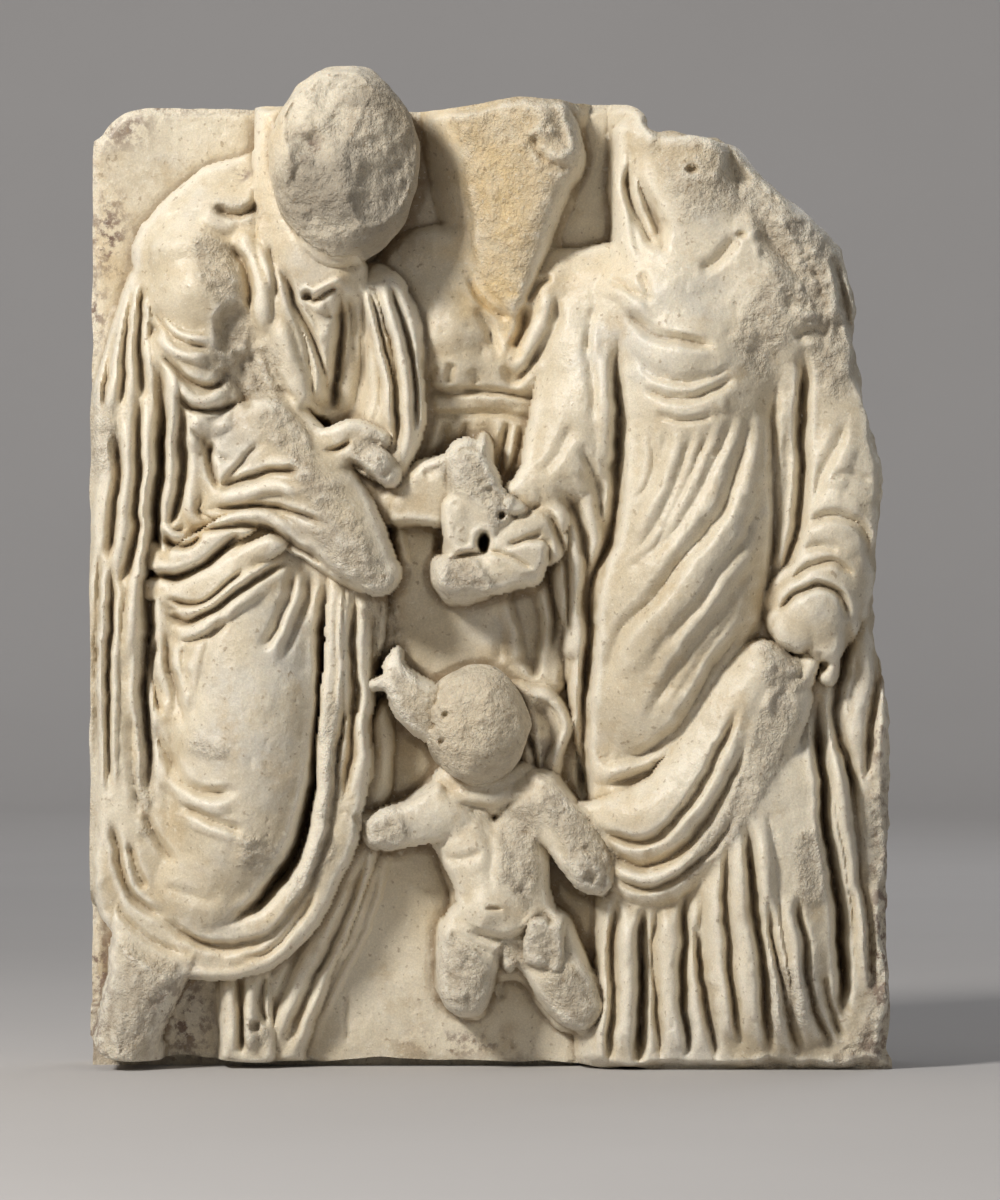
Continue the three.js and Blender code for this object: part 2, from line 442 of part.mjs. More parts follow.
function womanHead(s) {
  s.sink([[86, 545], [86, 522], [92, 506], [104, 492], [110, 506], [104, 522], [96, 536]], 30, 10);
  s.ridge([[78, 566], [78, 540], [79, 515], [83, 496], [90, 482]], 6, 5);
  s.channel([[84, 548], [84, 530], [90, 512], [97, 500], [104, 492]], 5, 9);
  s.limb([[122, 560, 26, 20], [124, 536, 28, 24], [126, 512, 28, 25], [122, 496, 24, 22]], 14);
  s.fracture([[92, 576], [90, 552], [96, 536], [104, 524], [112, 508], [120, 506], [138, 516],
    [150, 508], [158, 484], [148, 462], [142, 440], [146, 424], [158, 410], [168, 408],
    [176, 430], [184, 440], [190, 424], [197, 408], [212, 400], [226, 420], [224, 470],
    [208, 504], [186, 524], [168, 546], [146, 566], [120, 578]], 0, 1.9, 14);
  s.fracture([[146, 548], [156, 520], [158, 480], [170, 450], [196, 440], [214, 430], [216, 470],
    [204, 504], [186, 524], [168, 544]], 0, 2.2, 14);
  s.sink([[152, 560], [162, 534], [180, 520], [198, 516], [176, 546]], 34, 16);
  s.sink([[156, 500], [164, 520], [186, 500], [190, 470], [172, 480]], 44, 16);
  s.channel([[124, 482], [134, 486], [142, 494], [150, 503]], 7, 4);
  s.channel([[206, 492], [211, 474], [217, 452], [221, 436]], 5, 8);
  s.ridge([[198, 496], [206, 470], [212, 446]], 7, 3);
  s.channel([[182, 440], [194, 446], [206, 444]], 8, 4);
}

function womanNeckline(s) {
  s.ridge([[64, 474], [76, 469], [86, 460], [96, 450]], 6, 3);
  s.channel([[80, 460], [88, 451], [98, 443], [112, 439], [136, 437]], 6, 6);
  s.channel([[90, 413], [106, 406], [128, 407], [150, 418]], 5, 3.5);
}

function womanTorso(s) {
  s.fan([[96, 390], [96, 372], [93, 354], [87, 338]], [[132, 390], [119, 362], [104, 325],
    [80, 296]], 3, 7, 1.2, 2.4);
  s.channel([[135, 394], [120, 362], [104, 325], [94, 311], [77, 297]], 6, 3);
  s.channel([[160, 408], [154, 385], [142, 345], [120, 314], [96, 284], [78, 262], [66, 222]],
    8, 4.5);
  s.ridge([[166, 400], [160, 372], [150, 338], [128, 304], [104, 276], [86, 250], [74, 226]], 9, 3);
  s.channel([[162, 314], [142, 285], [120, 255], [101, 226], [94, 208]], 7, 3);
  s.channel([[156, 274], [134, 240], [112, 208], [98, 194], [78, 184]], 7, 6);
  s.channel([[162, 272], [156, 250], [145, 214], [134, 192]], 6, 4);
  s.ridge([[158, 262], [149, 236], [136, 208], [120, 190]], 6, 3);
  s.channel([[172, 418], [170, 380], [172, 320], [169, 285], [159, 264]], 5, 6);
  s.ridge([[179, 424], [178, 380], [179, 330], [175, 296]], 6, 3);
  s.channel([[187, 438], [188, 400], [187, 360], [184, 325], [176, 300], [166, 284]], 6, 14);
}

function womanSwag(s) {
  s.ridge([[54, 206], [58, 190], [68, 180], [84, 182], [100, 186], [120, 200]], 7, 4);
  s.channel([[66, 174], [80, 175], [98, 181], [120, 193], [138, 214]], 6, 7);
  s.limb([[58, 152, 24, 10], [74, 150, 28, 18], [94, 152, 32, 22], [112, 162, 34, 23],
    [130, 184, 34, 24], [148, 212, 36, 23], [164, 240, 38, 20]], 10);
  s.limb([[64, 130, 22, 10], [80, 122, 26, 15], [98, 118, 28, 18], [116, 128, 30, 19],
    [134, 148, 32, 19], [154, 178, 34, 19], [176, 218, 38, 17], [184, 238, 38, 12]], 10);
  s.limb([[72, 116, 18, 7], [84, 107, 22, 9], [98, 106, 24, 10], [116, 116, 26, 11],
    [136, 134, 28, 11], [158, 160, 30, 11], [178, 194, 34, 10]], 8);
  s.channel([[62, 150], [74, 141], [90, 139], [106, 147], [122, 166], [138, 194], [150, 222]],
    5, 7);
  s.ridge([[62, 143], [74, 134], [90, 132], [106, 138], [122, 154], [138, 180]], 5, 3);
  s.channel([[66, 136], [78, 127], [92, 124], [108, 130], [124, 144], [142, 172], [156, 204]],
    5, 7);
  s.channel([[72, 121], [84, 113], [98, 111], [114, 118], [134, 136], [150, 158]], 4, 5);
  s.fracture([[118, 112], [132, 124], [158, 152], [184, 198], [190, 222], [174, 238], [160, 222],
    [146, 186], [126, 150], [112, 130]], 0, 1.8, 10);
}

function womanSkirt(s) {
  s.channel([[92, 102], [92, 70], [91, 30], [89, 2]], 5, 18);
  s.ridge([[84, 102], [83, 70], [82, 30], [80, 2]], 6, 7);
  s.channel([[76, 108], [74, 70], [73, 30], [72, 2]], 4, 9);
  s.ridge([[69, 104], [68, 70], [67, 30], [67, 2]], 4, 4);
  s.channel([[101, 102], [98, 70], [100, 35], [102, 4]], 4, 6);
  s.ridge([[109, 106], [107, 70], [109, 35], [111, 4]], 6, 6);
  s.channel([[118, 110], [116, 64], [117, 35], [119, 4]], 4, 11);
  s.ridge([[124, 112], [122, 70], [125, 35], [128, 4]], 4, 4);
  s.channel([[122, 92], [127, 62], [132, 30], [137, 2]], 4, 8);
  s.ridge([[132, 122], [135, 80], [140, 45], [145, 6]], 6, 6);
  s.channel([[142, 142], [142, 92], [147, 42], [152, 12]], 4, 8);
  s.ridge([[149, 148], [150, 100], [156, 50], [161, 8]], 6, 5);
  s.channel([[153, 154], [158, 108], [164, 62], [169, 6]], 5, 14);
  s.ridge([[160, 164], [166, 112], [173, 62], [178, 6]], 6, 6);
  s.channel([[166, 108], [173, 62], [179, 36], [187, 6]], 5, 10);
  s.ridge([[178, 112], [184, 66], [190, 36], [197, 10]], 6, 5);
  s.channel([[185, 108], [191, 54], [198, 32], [207, 12]], 4, 8);
  s.channel([[200, 62], [205, 40], [213, 18]], 4, 5);
  s.channel([[197, 230], [200, 182], [202, 150], [206, 125], [210, 100], [213, 60], [214, 26]],
    6, 24);
  s.ridge([[206, 228], [211, 182], [216, 150], [221, 118], [226, 80], [228, 40]], 6, 7);
  s.channel([[214, 200], [219, 160], [223, 124], [229, 84], [232, 40]], 4, 8);
  s.fracture([[224, 160], [250, 168], [250, -6], [160, -6], [160, 10], [206, 14], [226, 40],
    [230, 100]], 0, 2.0, 8);
  s.fracture([[180, 138], [204, 150], [206, 104], [186, 98]], 0, 1.4, 8);
  s.fracture([[160, 60], [190, 70], [200, 30], [170, 20]], 0, 1.0, 8);
}

function womanLeftArm(s) {
  s.channel([[214, 394], [206, 374], [197, 355], [189, 330]], 6, 3);
  s.channel([[187, 329], [200, 334], [213, 333], [224, 326], [231, 300]], 5, 4);
  s.limb([[172, 284, 36, 8], [182, 294, 40, 10], [198, 301, 42, 10], [212, 294, 40, 9],
    [222, 278, 34, 8]], 5);
  s.channel([[170, 276], [180, 285], [196, 292], [209, 286], [216, 270]], 4, 7);
  s.channel([[176, 292], [190, 303], [206, 306], [220, 296]], 4, 3.5);
  s.limb([[186, 266, 44, 15], [194, 274, 46, 17], [202, 260, 44, 14]], 8);
  s.channel([[190, 258], [188, 246], [186, 234]], 4, 3);
  s.channel([[197, 254], [197, 244], [195, 234]], 4, 3);
  s.limb([[205, 252, 42, 6], [204, 238, 40, 6]], 4);
  s.limb([[192, 246, 42, 6], [190, 236, 40, 6]], 4);
  s.fracture([[160, 262], [184, 258], [192, 238], [184, 224], [168, 228], [158, 242]], 0, 1.8, 7);
  s.channel([[214, 274], [214, 250], [209, 225], [211, 200], [217, 178], [224, 160]], 6, 14);
  s.ridge([[222, 276], [227, 245], [222, 212], [222, 180]], 6, 5);
  s.channel([[230, 262], [234, 235], [230, 205], [226, 172]], 4, 7);
  s.ridge([[236, 290], [240, 250], [238, 210], [234, 175]], 5, 4);
  s.channel([[230, 392], [234, 362], [232, 330]], 4, 3);
}

function claspedHands(s) {
  s.limb([[-62, 344, 22, 14], [-44, 348, 28, 19], [-26, 350, 34, 22], [-14, 352, 38, 21]], 6);
  s.block([[-58, 329], [-58, 346], [-44, 362], [-34, 369], [-18, 372], [-18, 332], [-30, 330]],
    46, 14, 0.2, 0.1);
  s.block([[-25, 368], [-12, 377], [-3, 385], [3, 378], [3, 364], [6, 352], [14, 346], [22, 338],
    [16, 328], [8, 318], [-2, 308], [-14, 305], [-27, 304], [-29, 322], [-26, 340]],
    62, 11, 0.1, 0.0);
  s.limb([[-14, 368, 44, 13], [-8, 350, 50, 14], [2, 338, 50, 13]], 6);
  s.fracture([[-27, 369], [-12, 378], [-3, 386], [4, 378], [4, 362], [8, 350], [0, 342],
    [-14, 346], [-26, 352]], 0, 2.6, 4);
  s.fracture([[-2, 350], [8, 352], [14, 344], [10, 330], [0, 330]], 0, 1.6, 3);
  s.limb([[-20, 338, 50, 10], [-20, 324, 52, 9]], 5);
  s.limb([[34, 332, 42, 13], [22, 326, 48, 13], [10, 322, 50, 12]], 6);
  s.limb([[33, 318, 40, 14], [22, 313, 48, 14], [8, 314, 50, 11]], 6);
  s.block([[-32, 311], [-36, 298], [-33, 288], [-24, 280], [-8, 282], [6, 288], [22, 291],
    [32, 296], [36, 308], [32, 320], [16, 317], [2, 312], [-14, 311]], 60, 10, 0.04, 0.3);
  s.limb([[-22, 298, 48, 12], [0, 300, 50, 13], [22, 304, 48, 13]], 6);
  s.fracture([[-32, 312], [-38, 298], [-34, 286], [-22, 278], [-4, 281], [8, 287], [-4, 302],
    [-14, 310]], 0, 2.4, 4);
  s.channel([[-30, 332], [-31, 320], [-33, 312]], 4, 5);
  s.sink([[10, 288], [28, 291], [34, 276], [32, 240], [22, 240]], 2, 6);
}

function womanRightArm(s) {
  s.channel([[77, 448], [75, 420], [77, 390], [76, 350], [71, 318], [62, 296], [60, 250],
    [57, 212]], 6, 15);
  s.ridge([[69, 440], [68, 414], [69, 384], [68, 352]], 6, 3);
  s.channel([[52, 378], [62, 360], [67, 338], [68, 316]], 5, 4);
  s.ridge([[44, 366], [56, 350], [62, 328], [63, 302], [58, 270]], 5, 3.5);
  s.channel([[36, 352], [48, 342], [56, 322], [58, 296], [55, 266]], 5, 7);
  s.ridge([[32, 346], [42, 336], [50, 316], [53, 292], [51, 262]], 5, 3);
  s.channel([[30, 340], [38, 330], [45, 312], [48, 290], [47, 258]], 4, 6);
  s.ridge([[34, 326], [40, 310], [43, 288], [43, 256]], 4, 3);
  s.channel([[34, 318], [37, 304], [39, 284], [38, 252]], 4, 6);
  s.ridge([[31, 304], [34, 280], [34, 246]], 4, 3);
  s.channel([[60, 262], [58, 240], [57, 206], [58, 160]], 5, 14);
}

function childCloak(s) {
  s.block([[12, 232], [28, 232], [42, 224], [51, 208], [46, 192], [42, 174], [26, 172],
    [14, 190]], 20, 8, -0.05, 0);
  s.ridge([[18, 230], [32, 227], [43, 218], [48, 206], [42, 192], [38, 176]], 5, 6);
  s.channel([[26, 222], [34, 212], [37, 200], [32, 184], [30, 174]], 6, 5);
  s.ridge([[20, 222], [26, 212], [27, 196]], 4, 4);
  s.fracture([[14, 226], [28, 224], [30, 196], [20, 190]], 0, 1.8, 4);
}

function childStrut(s) {
  s.limb([[-57, 252, 34, 4], [-58, 242, 34, 8], [-52, 230, 34, 13], [-42, 220, 32, 17],
    [-30, 212, 28, 18]], 4);
  s.limb([[-70, 233, 34, 4], [-60, 234, 34, 7], [-52, 228, 32, 10]], 3);
  s.fracture([[-72, 236], [-60, 242], [-57, 256], [-52, 250], [-44, 236], [-30, 228], [-30, 200],
    [-46, 206], [-62, 224]], 0, 1.6, 3);
}

function childBody(s) {
  s.block([[-42, 168], [-32, 136], [-31, 122], [-26, 106], [-28, 88], [-34, 70], [-30, 46],
    [-18, 30], [-4, 32], [2, 48], [12, 52], [22, 48], [30, 34], [44, 20], [60, 22], [68, 42],
    [60, 66], [48, 92], [34, 102], [32, 120], [34, 146], [40, 168], [20, 182], [-24, 180]],
    18, 10, 0, 0);
  s.limb([[-20, 172, 16, 16], [0, 170, 18, 17], [16, 172, 16, 15]], 8);
  s.limb([[-22, 150, 16, 20], [-12, 136, 20, 21], [-2, 116, 22, 22], [2, 98, 24, 22]], 12);
  s.limb([[24, 156, 16, 18], [18, 134, 20, 19], [16, 112, 22, 20], [20, 92, 22, 20]], 12);
  s.limb([[0, 94, 26, 21], [6, 88, 24, 18]], 8);
  s.block([[-82, 154], [-64, 157], [-42, 170], [-28, 172], [-22, 150], [-30, 138], [-46, 136],
    [-60, 131], [-76, 135]], 38, 11, 0, 0);
  s.limb([[-26, 154, 24, 16], [-44, 149, 28, 15], [-62, 145, 30, 13]], 8);
  s.block([[22, 178], [36, 180], [46, 172], [58, 158], [68, 146], [74, 128], [72, 108], [60, 105],
    [48, 116], [44, 132], [32, 148]], 40, 11, 0, 0);
  s.limb([[28, 162, 24, 17], [42, 148, 30, 16], [56, 128, 36, 15], [62, 118, 36, 13]], 8);
  s.block([[-30, 92], [-34, 66], [-32, 44], [-20, 32], [-6, 34], [2, 48], [5, 66], [4, 80]],
    36, 12, 0, 0.1);
  s.limb([[-10, 84, 20, 20], [-14, 62, 26, 18], [-16, 48, 28, 15]], 8);
  s.block([[18, 84], [20, 62], [28, 42], [42, 26], [60, 20], [68, 38], [62, 62], [48, 90],
    [34, 98]], 34, 12, 0, 0.1);
  s.limb([[28, 78, 20, 20], [42, 56, 26, 18], [52, 38, 26, 15]], 8);
  s.limb([[48, 36, 8, 12], [62, 24, 6, 12]], 5);
}

function childDetail(s) {
  s.channel([[-14, 84], [2, 79], [18, 82], [30, 88]], 5, 3);
  s.fracture([[2, 158], [24, 164], [32, 150], [28, 128], [26, 102], [12, 100], [2, 126]],
    0, 1.6, 7);
  s.fracture([[28, 174], [46, 172], [60, 154], [70, 138], [74, 108], [58, 104], [48, 118],
    [42, 136], [34, 150]], 0, 2.0, 6);
  s.fracture([[-60, 160], [-84, 158], [-80, 134], [-58, 131], [-52, 144]], 0, 2.4, 4);
  s.fracture([[50, 132], [74, 132], [76, 104], [56, 102]], 0, 2.4, 4);
  s.fracture([[-34, 84], [-24, 86], [-8, 72], [4, 60], [2, 40], [-10, 30], [-22, 28], [-34, 42]],
    0, 2.2, 5);
  s.fracture([[30, 60], [52, 64], [66, 56], [70, 34], [60, 20], [44, 20], [32, 36]], 0, 1.8, 7);
  s.block([[20, 66], [22, 90], [34, 92], [44, 90], [44, 68], [40, 60], [32, 62]], 46, 4, 0, 0);
  s.fracture([[18, 64], [20, 92], [34, 94], [46, 92], [46, 66], [38, 58]], 0, 2.4, 3);
  s.block([[6, 76], [6, 62], [12, 58], [17, 66], [17, 77]], 34, 4, 0, 0);
  s.fracture([[2, 78], [4, 58], [14, 55], [20, 64], [19, 79]], 0, 1.8, 3);
  s.channel([[-2, 60], [4, 50], [8, 40]], 5, 3);
}

function manHeadMass(s) {
  s.limb([[-122, 592, 8, 20], [-124, 560, 18, 20], [-121, 526, 26, 22], [-110, 496, 32, 24],
    [-98, 480, 32, 24]], 10);
  s.block([[-124, 560], [-120, 586], [-104, 600], [-84, 604], [-62, 598], [-50, 576], [-50, 540],
    [-58, 512], [-74, 492], [-96, 488], [-112, 500], [-122, 528]], 58, 22, 0, 0);
}

function childHeadMass(s) {
  s.block([[-38, 212], [-34, 232], [-18, 242], [2, 240], [16, 226], [18, 204], [10, 186],
    [-6, 176], [-24, 180], [-36, 196]], 42, 14, 0, 0);
}
// ---- thinning: take away, again and again, the point that changes the face least
class Heap {
  constructor() {
    this.items = [];
  }

  push(item) {
    const q = this.items;
    let i = q.push(item) - 1;
    while (i > 0) {
      const up = (i - 1) >> 1;
      if (q[up].cost <= item.cost) break;
      q[i] = q[up];
      i = up;
    }
    q[i] = item;
  }

  pop() {
    const q = this.items;
    const top = q[0];
    const item = q.pop();
    if (!q.length) return top;
    let i = 0;
    for (;;) {
      let c = 2 * i + 1;
      if (c >= q.length) break;
      if (c + 1 < q.length && q[c + 1].cost < q[c].cost) c++;
      if (q[c].cost >= item.cost) break;
      q[i] = q[c];
      i = c;
    }
    q[i] = item;
    return top;
  }
}

function thin(face, target) {
  const { nx, nz } = face;
  const total = nx * nz;
  const points = [];
  const sides = new Uint8Array(total);
  for (let n = 0; n < total; n++) {
    const [i, j] = [n % nx, Math.floor(n / nx)];
    points.push([face.x0 + i * CELL, face.z0 + j * CELL, face.depth[n]]);
    sides[n] = (i === 0) + 2 * (i === nx - 1) + 4 * (j === 0) + 8 * (j === nz - 1);
  }
  const tris = [];
  const around = points.map(() => new Set());
  const addTri = (...t) => {
    for (const v of t) around[v].add(tris.length);
    tris.push(t);
  };
  for (let j = 0; j < nz - 1; j++) {
    for (let i = 0; i < nx - 1; i++) {
      const [a, b, c, d] = [j * nx + i, j * nx + i + 1, (j + 1) * nx + i + 1, (j + 1) * nx + i];
      const flat = Math.abs(points[a][2] - points[c][2]) < Math.abs(points[b][2] - points[d][2]);
      if (flat) {
        addTri(a, b, c);
        addTri(a, c, d);
      } else {
        addTri(a, b, d);
        addTri(b, c, d);
      }
    }
  }
  const quadrics = new Float64Array(total * 10);
  for (const t of tris) {
    const [p, q, r] = t.map((v) => new THREE.Vector3(...points[v]));
    const normal = q.clone().sub(p).cross(r.clone().sub(p));
    const area = normal.length() / 2;
    normal.normalize();
    const e = [normal.x, normal.y, normal.z, -normal.dot(p)];
    for (const v of t) {
      let k = v * 10;
      for (let a = 0; a < 4; a++) for (let b = a; b < 4; b++) quadrics[k++] += area * e[a] * e[b];
    }
  }
  const stamp = new Uint32Array(total);
  const heap = new Heap();
  const cost = (u, v) => {
    const e = [...points[v], 1];
    let [k, m, sum] = [u * 10, v * 10, 0];
    for (let a = 0; a < 4; a++) {
      for (let b = a; b < 4; b++) sum += (quadrics[k++] + quadrics[m++]) * e[a] * e[b] * (a === b ? 1 : 2);
    }
    return sum + 0.002 * Math.hypot(points[u][0] - points[v][0], points[u][1] - points[v][1]);
  };
  const offer = (u, v) => {
    if (sides[u] && (sides[u] & sides[v]) !== sides[u]) return;
    heap.push({ cost: cost(u, v), u, v, su: stamp[u], sv: stamp[v] });
  };
  const neighbours = (v) => {
    const out = new Set();
    for (const t of around[v]) for (const w of tris[t]) if (w !== v) out.add(w);
    return out;
  };
  const wide = (a, b, c) => {
    const [p, q, r] = [points[a], points[b], points[c]];
    const twice = (q[0] - p[0]) * (r[1] - p[1]) - (q[1] - p[1]) * (r[0] - p[0]);
    const longest = Math.max(Math.hypot(q[0] - p[0], q[1] - p[1]), Math.hypot(r[0] - q[0], r[1] - q[1]),
      Math.hypot(p[0] - r[0], p[1] - r[1]));
    return twice > 0.3 * longest;
  };
  for (let v = 0; v < total; v++) for (const w of neighbours(v)) offer(v, w);
  let left = tris.length;
  while (left > target && heap.items.length) {
    const { u, v, su, sv } = heap.pop();
    if (stamp[u] !== su || stamp[v] !== sv) continue;
    const shared = [...around[u]].filter((t) => around[v].has(t));
    const common = [...neighbours(u)].filter((w) => neighbours(v).has(w));
    if (!shared.length || common.length !== shared.length) continue;
    if (sides[u] && shared.length !== 1) continue;
    const moved = [...around[u]].filter((t) => !around[v].has(t));
    if (!moved.every((t) => wide(...tris[t].map((w) => (w === u ? v : w))))) continue;
    for (const t of shared) for (const w of tris[t]) around[w].delete(t);
    for (const t of moved) {
      tris[t] = tris[t].map((w) => (w === u ? v : w));
      around[v].add(t);
    }
    for (const t of shared) tris[t] = null;
    around[u].clear();
    for (let k = 0; k < 10; k++) quadrics[v * 10 + k] += quadrics[u * 10 + k];
    left -= shared.length;
    stamp[u] = 0xffffffff;
    stamp[v]++;
    for (const w of neighbours(v)) {
      offer(v, w);
      offer(w, v);
    }
  }
  return { points, sides, tris: tris.filter(Boolean) };
}

// ---- closed solids
function solid(positions, triangles) {
  return new wasm.Manifold(new wasm.Mesh({
    numProp: 3,
    vertProperties: new Float32Array(positions.flat()),
    triVerts: new Uint32Array(triangles.flat()),
  }));
}

// the worked face with walls down to the flat back
function faceSolid(face) {
  const { points, sides, tris } = thin(face, FACE_TRIANGLES);
  const index = new Map();
  const positions = [];
  const put = (key, p) => {
    if (!index.has(key)) {
      index.set(key, positions.length);
      positions.push(p);
    }
    return index.get(key);
  };
  const front = (v) => put(`f${v}`, [points[v][0], GROUND - points[v][2], points[v][1]]);
  const back = (v) => put(`b${v}`, [points[v][0], BACK, points[v][1]]);
  const middle = put('middle', [0, BACK, HEIGHT / 2]);
  const edges = new Set(tris.flatMap(([a, b, c]) => [`${a},${b}`, `${b},${c}`, `${c},${a}`]));
  const out = tris.map((t) => t.map(front));
  for (const t of tris) {
    for (let k = 0; k < 3; k++) {
      const [a, b] = [t[k], t[(k + 1) % 3]];
      if (edges.has(`${b},${a}`)) continue;
      out.push([front(b), front(a), back(a)], [front(b), back(a), back(b)], [back(b), back(a), middle]);
    }
  }
  return solid(positions, out);
}

// an upright sheet of stone with a given outline, between two distances from the back
function slab(outline, from, to) {
  const shape = new THREE.Shape(outline.map(([x, z]) => new THREE.Vector2(x, z)));
  const geometry = new THREE.ExtrudeGeometry(shape, { depth: to - from, bevelEnabled: false });
  geometry.deleteAttribute('normal');
  geometry.deleteAttribute('uv');
  const merged = mergeVertices(geometry, 1e-4);
  const p = merged.getAttribute('position');
  const positions = [];
  for (let i = 0; i < p.count; i++) positions.push([p.getX(i), BACK - from - p.getZ(i), p.getY(i)]);
  const triangles = [];
  const n = merged.getIndex();
  for (let i = 0; i < n.count; i += 3) triangles.push([n.getX(i), n.getX(i + 1), n.getX(i + 2)]);
  return solid(positions, triangles);
}

// a closed round mass: rings of `around` points, each ring given by a function of its share
function rings(count, around, at) {
  const positions = [at(0, 0)];
  for (let r = 1; r < count; r++) {
    for (let a = 0; a < around; a++) positions.push(at(r / count, (a / around) * 2 * Math.PI));
  }
  positions.push(at(1, 0));
  const last = positions.length - 1;
  const id = (r, a) => 1 + (r - 1) * around + ((a + around) % around);
  const triangles = [];
  for (let a = 0; a < around; a++) {
    triangles.push([0, id(1, a + 1), id(1, a)], [last, id(count - 1, a), id(count - 1, a + 1)]);
    for (let r = 1; r < count - 1; r++) {
      triangles.push([id(r, a), id(r, a + 1), id(r + 1, a)], [id(r, a + 1), id(r + 1, a + 1), id(r + 1, a)]);
    }
  }
  const s = solid(positions, triangles);
  return s.volume() > 0 ? s : solid(positions, triangles.map(([a, b, c]) => [a, c, b]));
}

// a battered head: an egg of stone broken off flat in front
function head(x, z, depth, [rx, rd, rz], flat, rough, count, around) {
  return rings(count, around, (share, angle) => {
    const [s, c] = [Math.sin(share * Math.PI), Math.cos(share * Math.PI)];
    const p = [rx * s * Math.cos(angle), rd * s * Math.sin(angle), rz * c];
    const k = 1 + (rough / rx) * noise(p[0] + x, p[1], p[2] + z, 24);
    const front = Math.min(depth + p[1] * k, flat + rough * 0.8 * noise(p[0] + x, 3, p[2], 20));
    return [x + p[0] * k, GROUND - Math.min(front, RELIEF), Math.min(z + p[2] * k, HEIGHT)];
  });
}

// ---- the block: straight left side and top, upper right corner lost
const outline = curve([
  [-236, 0], [-243, 24], [-243, 160], [-243, 350], [-243, 540], [-237, 566], [-219, 582], [-185, 583.5],
  [-120, 583], [-60, 582], [-18, 583], [12, 588], [50, 586], [84, 585], [95, 578], [98, 570], [124, 568],
  [150, 559], [168, 540], [198, 514], [214, 494], [222, 464], [223, 432], [230, 396], [240, 360], [235, 320],
  [234, 264], [240, 230], [243, 190], [243, 150], [241, 90], [243, 50], [240, 12], [232, 0],
], false, 3).map(([x, z]) => [clamp(x, -HALF_WIDTH, HALF_WIDTH), Math.max(z, 0)]);

// front edge of the underside, worn up towards the left
const wornFoot = curve([[-262, 34], [-243, 22], [-228, 7], [-175, 6], [-120, 4], [-60, 5.5], [0, 4], [60, 2], [118, -4]],
  false, 2).concat([[118, -30], [-262, -30]]);

const face = new Face();
for (const carve of [
  middleFigure, manBackDrapery, manLeg, manBody, manNeck, manHeadMass, manChest, manBundle,
  manSide, manWaist, manThigh, manHem, manArm, womanBody, womanHead, womanNeckline, womanTorso,
  womanSwag, womanSkirt, womanLeftArm, claspedHands, womanRightArm, childCloak, childHeadMass,
  childStrut, childBody, childDetail,
]) carve(face);

// the stone thins towards its worn arrises
face.near(outline, 0, true, (h, d) => {
  const wear = h.inside ? 1 - ease(h.dist / 9) : 1;
  return Math.min(d, RELIEF - 2) - wear * (4 + 0.3 * Math.max(d, 0));
});

let stone = faceSolid(face).intersect(slab(outline, -1, DEPTH + 1));
stone = stone.subtract(slab(wornFoot, SLAB - 16, DEPTH + 20));
for (const part of [
  head(-88, 545, 44, [45, 52, 62], RELIEF + 3, 4, 20, 26),
  head(-8, 208, 32, [30, 33, 35], 62, 2.5, 14, 18),
]) stone = stone.add(part);

const result = stone.getMesh();
const geometry = new THREE.BufferGeometry();
geometry.setAttribute('position', new THREE.BufferAttribute(new Float32Array(result.vertProperties), 3));
geometry.setIndex(new THREE.BufferAttribute(new Uint32Array(result.triVerts), 1));
const shown = geometry.toNonIndexed();
shown.computeVertexNormals();

const marble = new THREE.MeshStandardMaterial({ color: 0xd2c3a3, roughness: 0.72, metalness: 0 });
const relief = new THREE.Mesh(shown, marble);
relief.name = 'marble_relief';
const group = new THREE.Group();
group.name = 'marble_family_relief';
group.add(relief);
export default group;
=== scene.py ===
"""Marble relief slab: a man, a veiled woman and a third figure with a small child, one block of stone.

The stone is carved as a depth in front of the slab's plain ground, in millimetres across and up.
It is then given its thickness, cut to the broken outline, and joined to the two battered heads,
which stand furthest out.

Lines and outlines are flat runs of numbers: across,up for each point, and for a limb
across,up,depth of its axis,radius.
"""
import math

import bpy
import numpy as np
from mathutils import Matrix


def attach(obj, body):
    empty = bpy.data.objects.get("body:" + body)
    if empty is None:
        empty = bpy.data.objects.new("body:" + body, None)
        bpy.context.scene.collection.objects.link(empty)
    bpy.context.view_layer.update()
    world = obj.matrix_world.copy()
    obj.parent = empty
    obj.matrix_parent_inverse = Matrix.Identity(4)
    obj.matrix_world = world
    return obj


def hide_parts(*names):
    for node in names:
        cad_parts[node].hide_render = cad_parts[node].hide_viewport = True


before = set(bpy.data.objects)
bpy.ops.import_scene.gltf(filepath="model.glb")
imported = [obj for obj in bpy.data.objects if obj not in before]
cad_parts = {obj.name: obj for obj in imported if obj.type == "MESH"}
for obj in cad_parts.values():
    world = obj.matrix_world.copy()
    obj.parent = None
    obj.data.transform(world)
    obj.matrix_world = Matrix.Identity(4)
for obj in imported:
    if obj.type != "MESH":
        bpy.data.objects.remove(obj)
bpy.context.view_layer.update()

MM = 0.001                                    # one millimetre in the scene's metres
SLAB = 52.0                                   # thickness behind the figures
RELIEF = 92.0                                 # furthest the figures stand in front of the ground
BACK = (SLAB + RELIEF) / 2                    # depth of the flat back
GROUND = BACK - SLAB                          # depth of the plain face between the figures
HALF_WIDTH = 243.0
HEIGHT = 605.0
MAN_HEAD = (-88, 545)                         # middle of the man's head, across and up
CHILD_HEAD = (-8, 208)
SPARE = 9                                     # how far the working surface runs past the stone
CELL = 1.15            # spacing of the working surface
KEPT = 186000        # triangles in the finished stone
RISE = 0.95                                   # share of their drawn height that folds keep
CUT = 1.15                                    # share of their drawn depth that furrows keep


def ease(t):
    t = np.clip(t, 0, 1)
    return t * t * (3 - 2 * t)


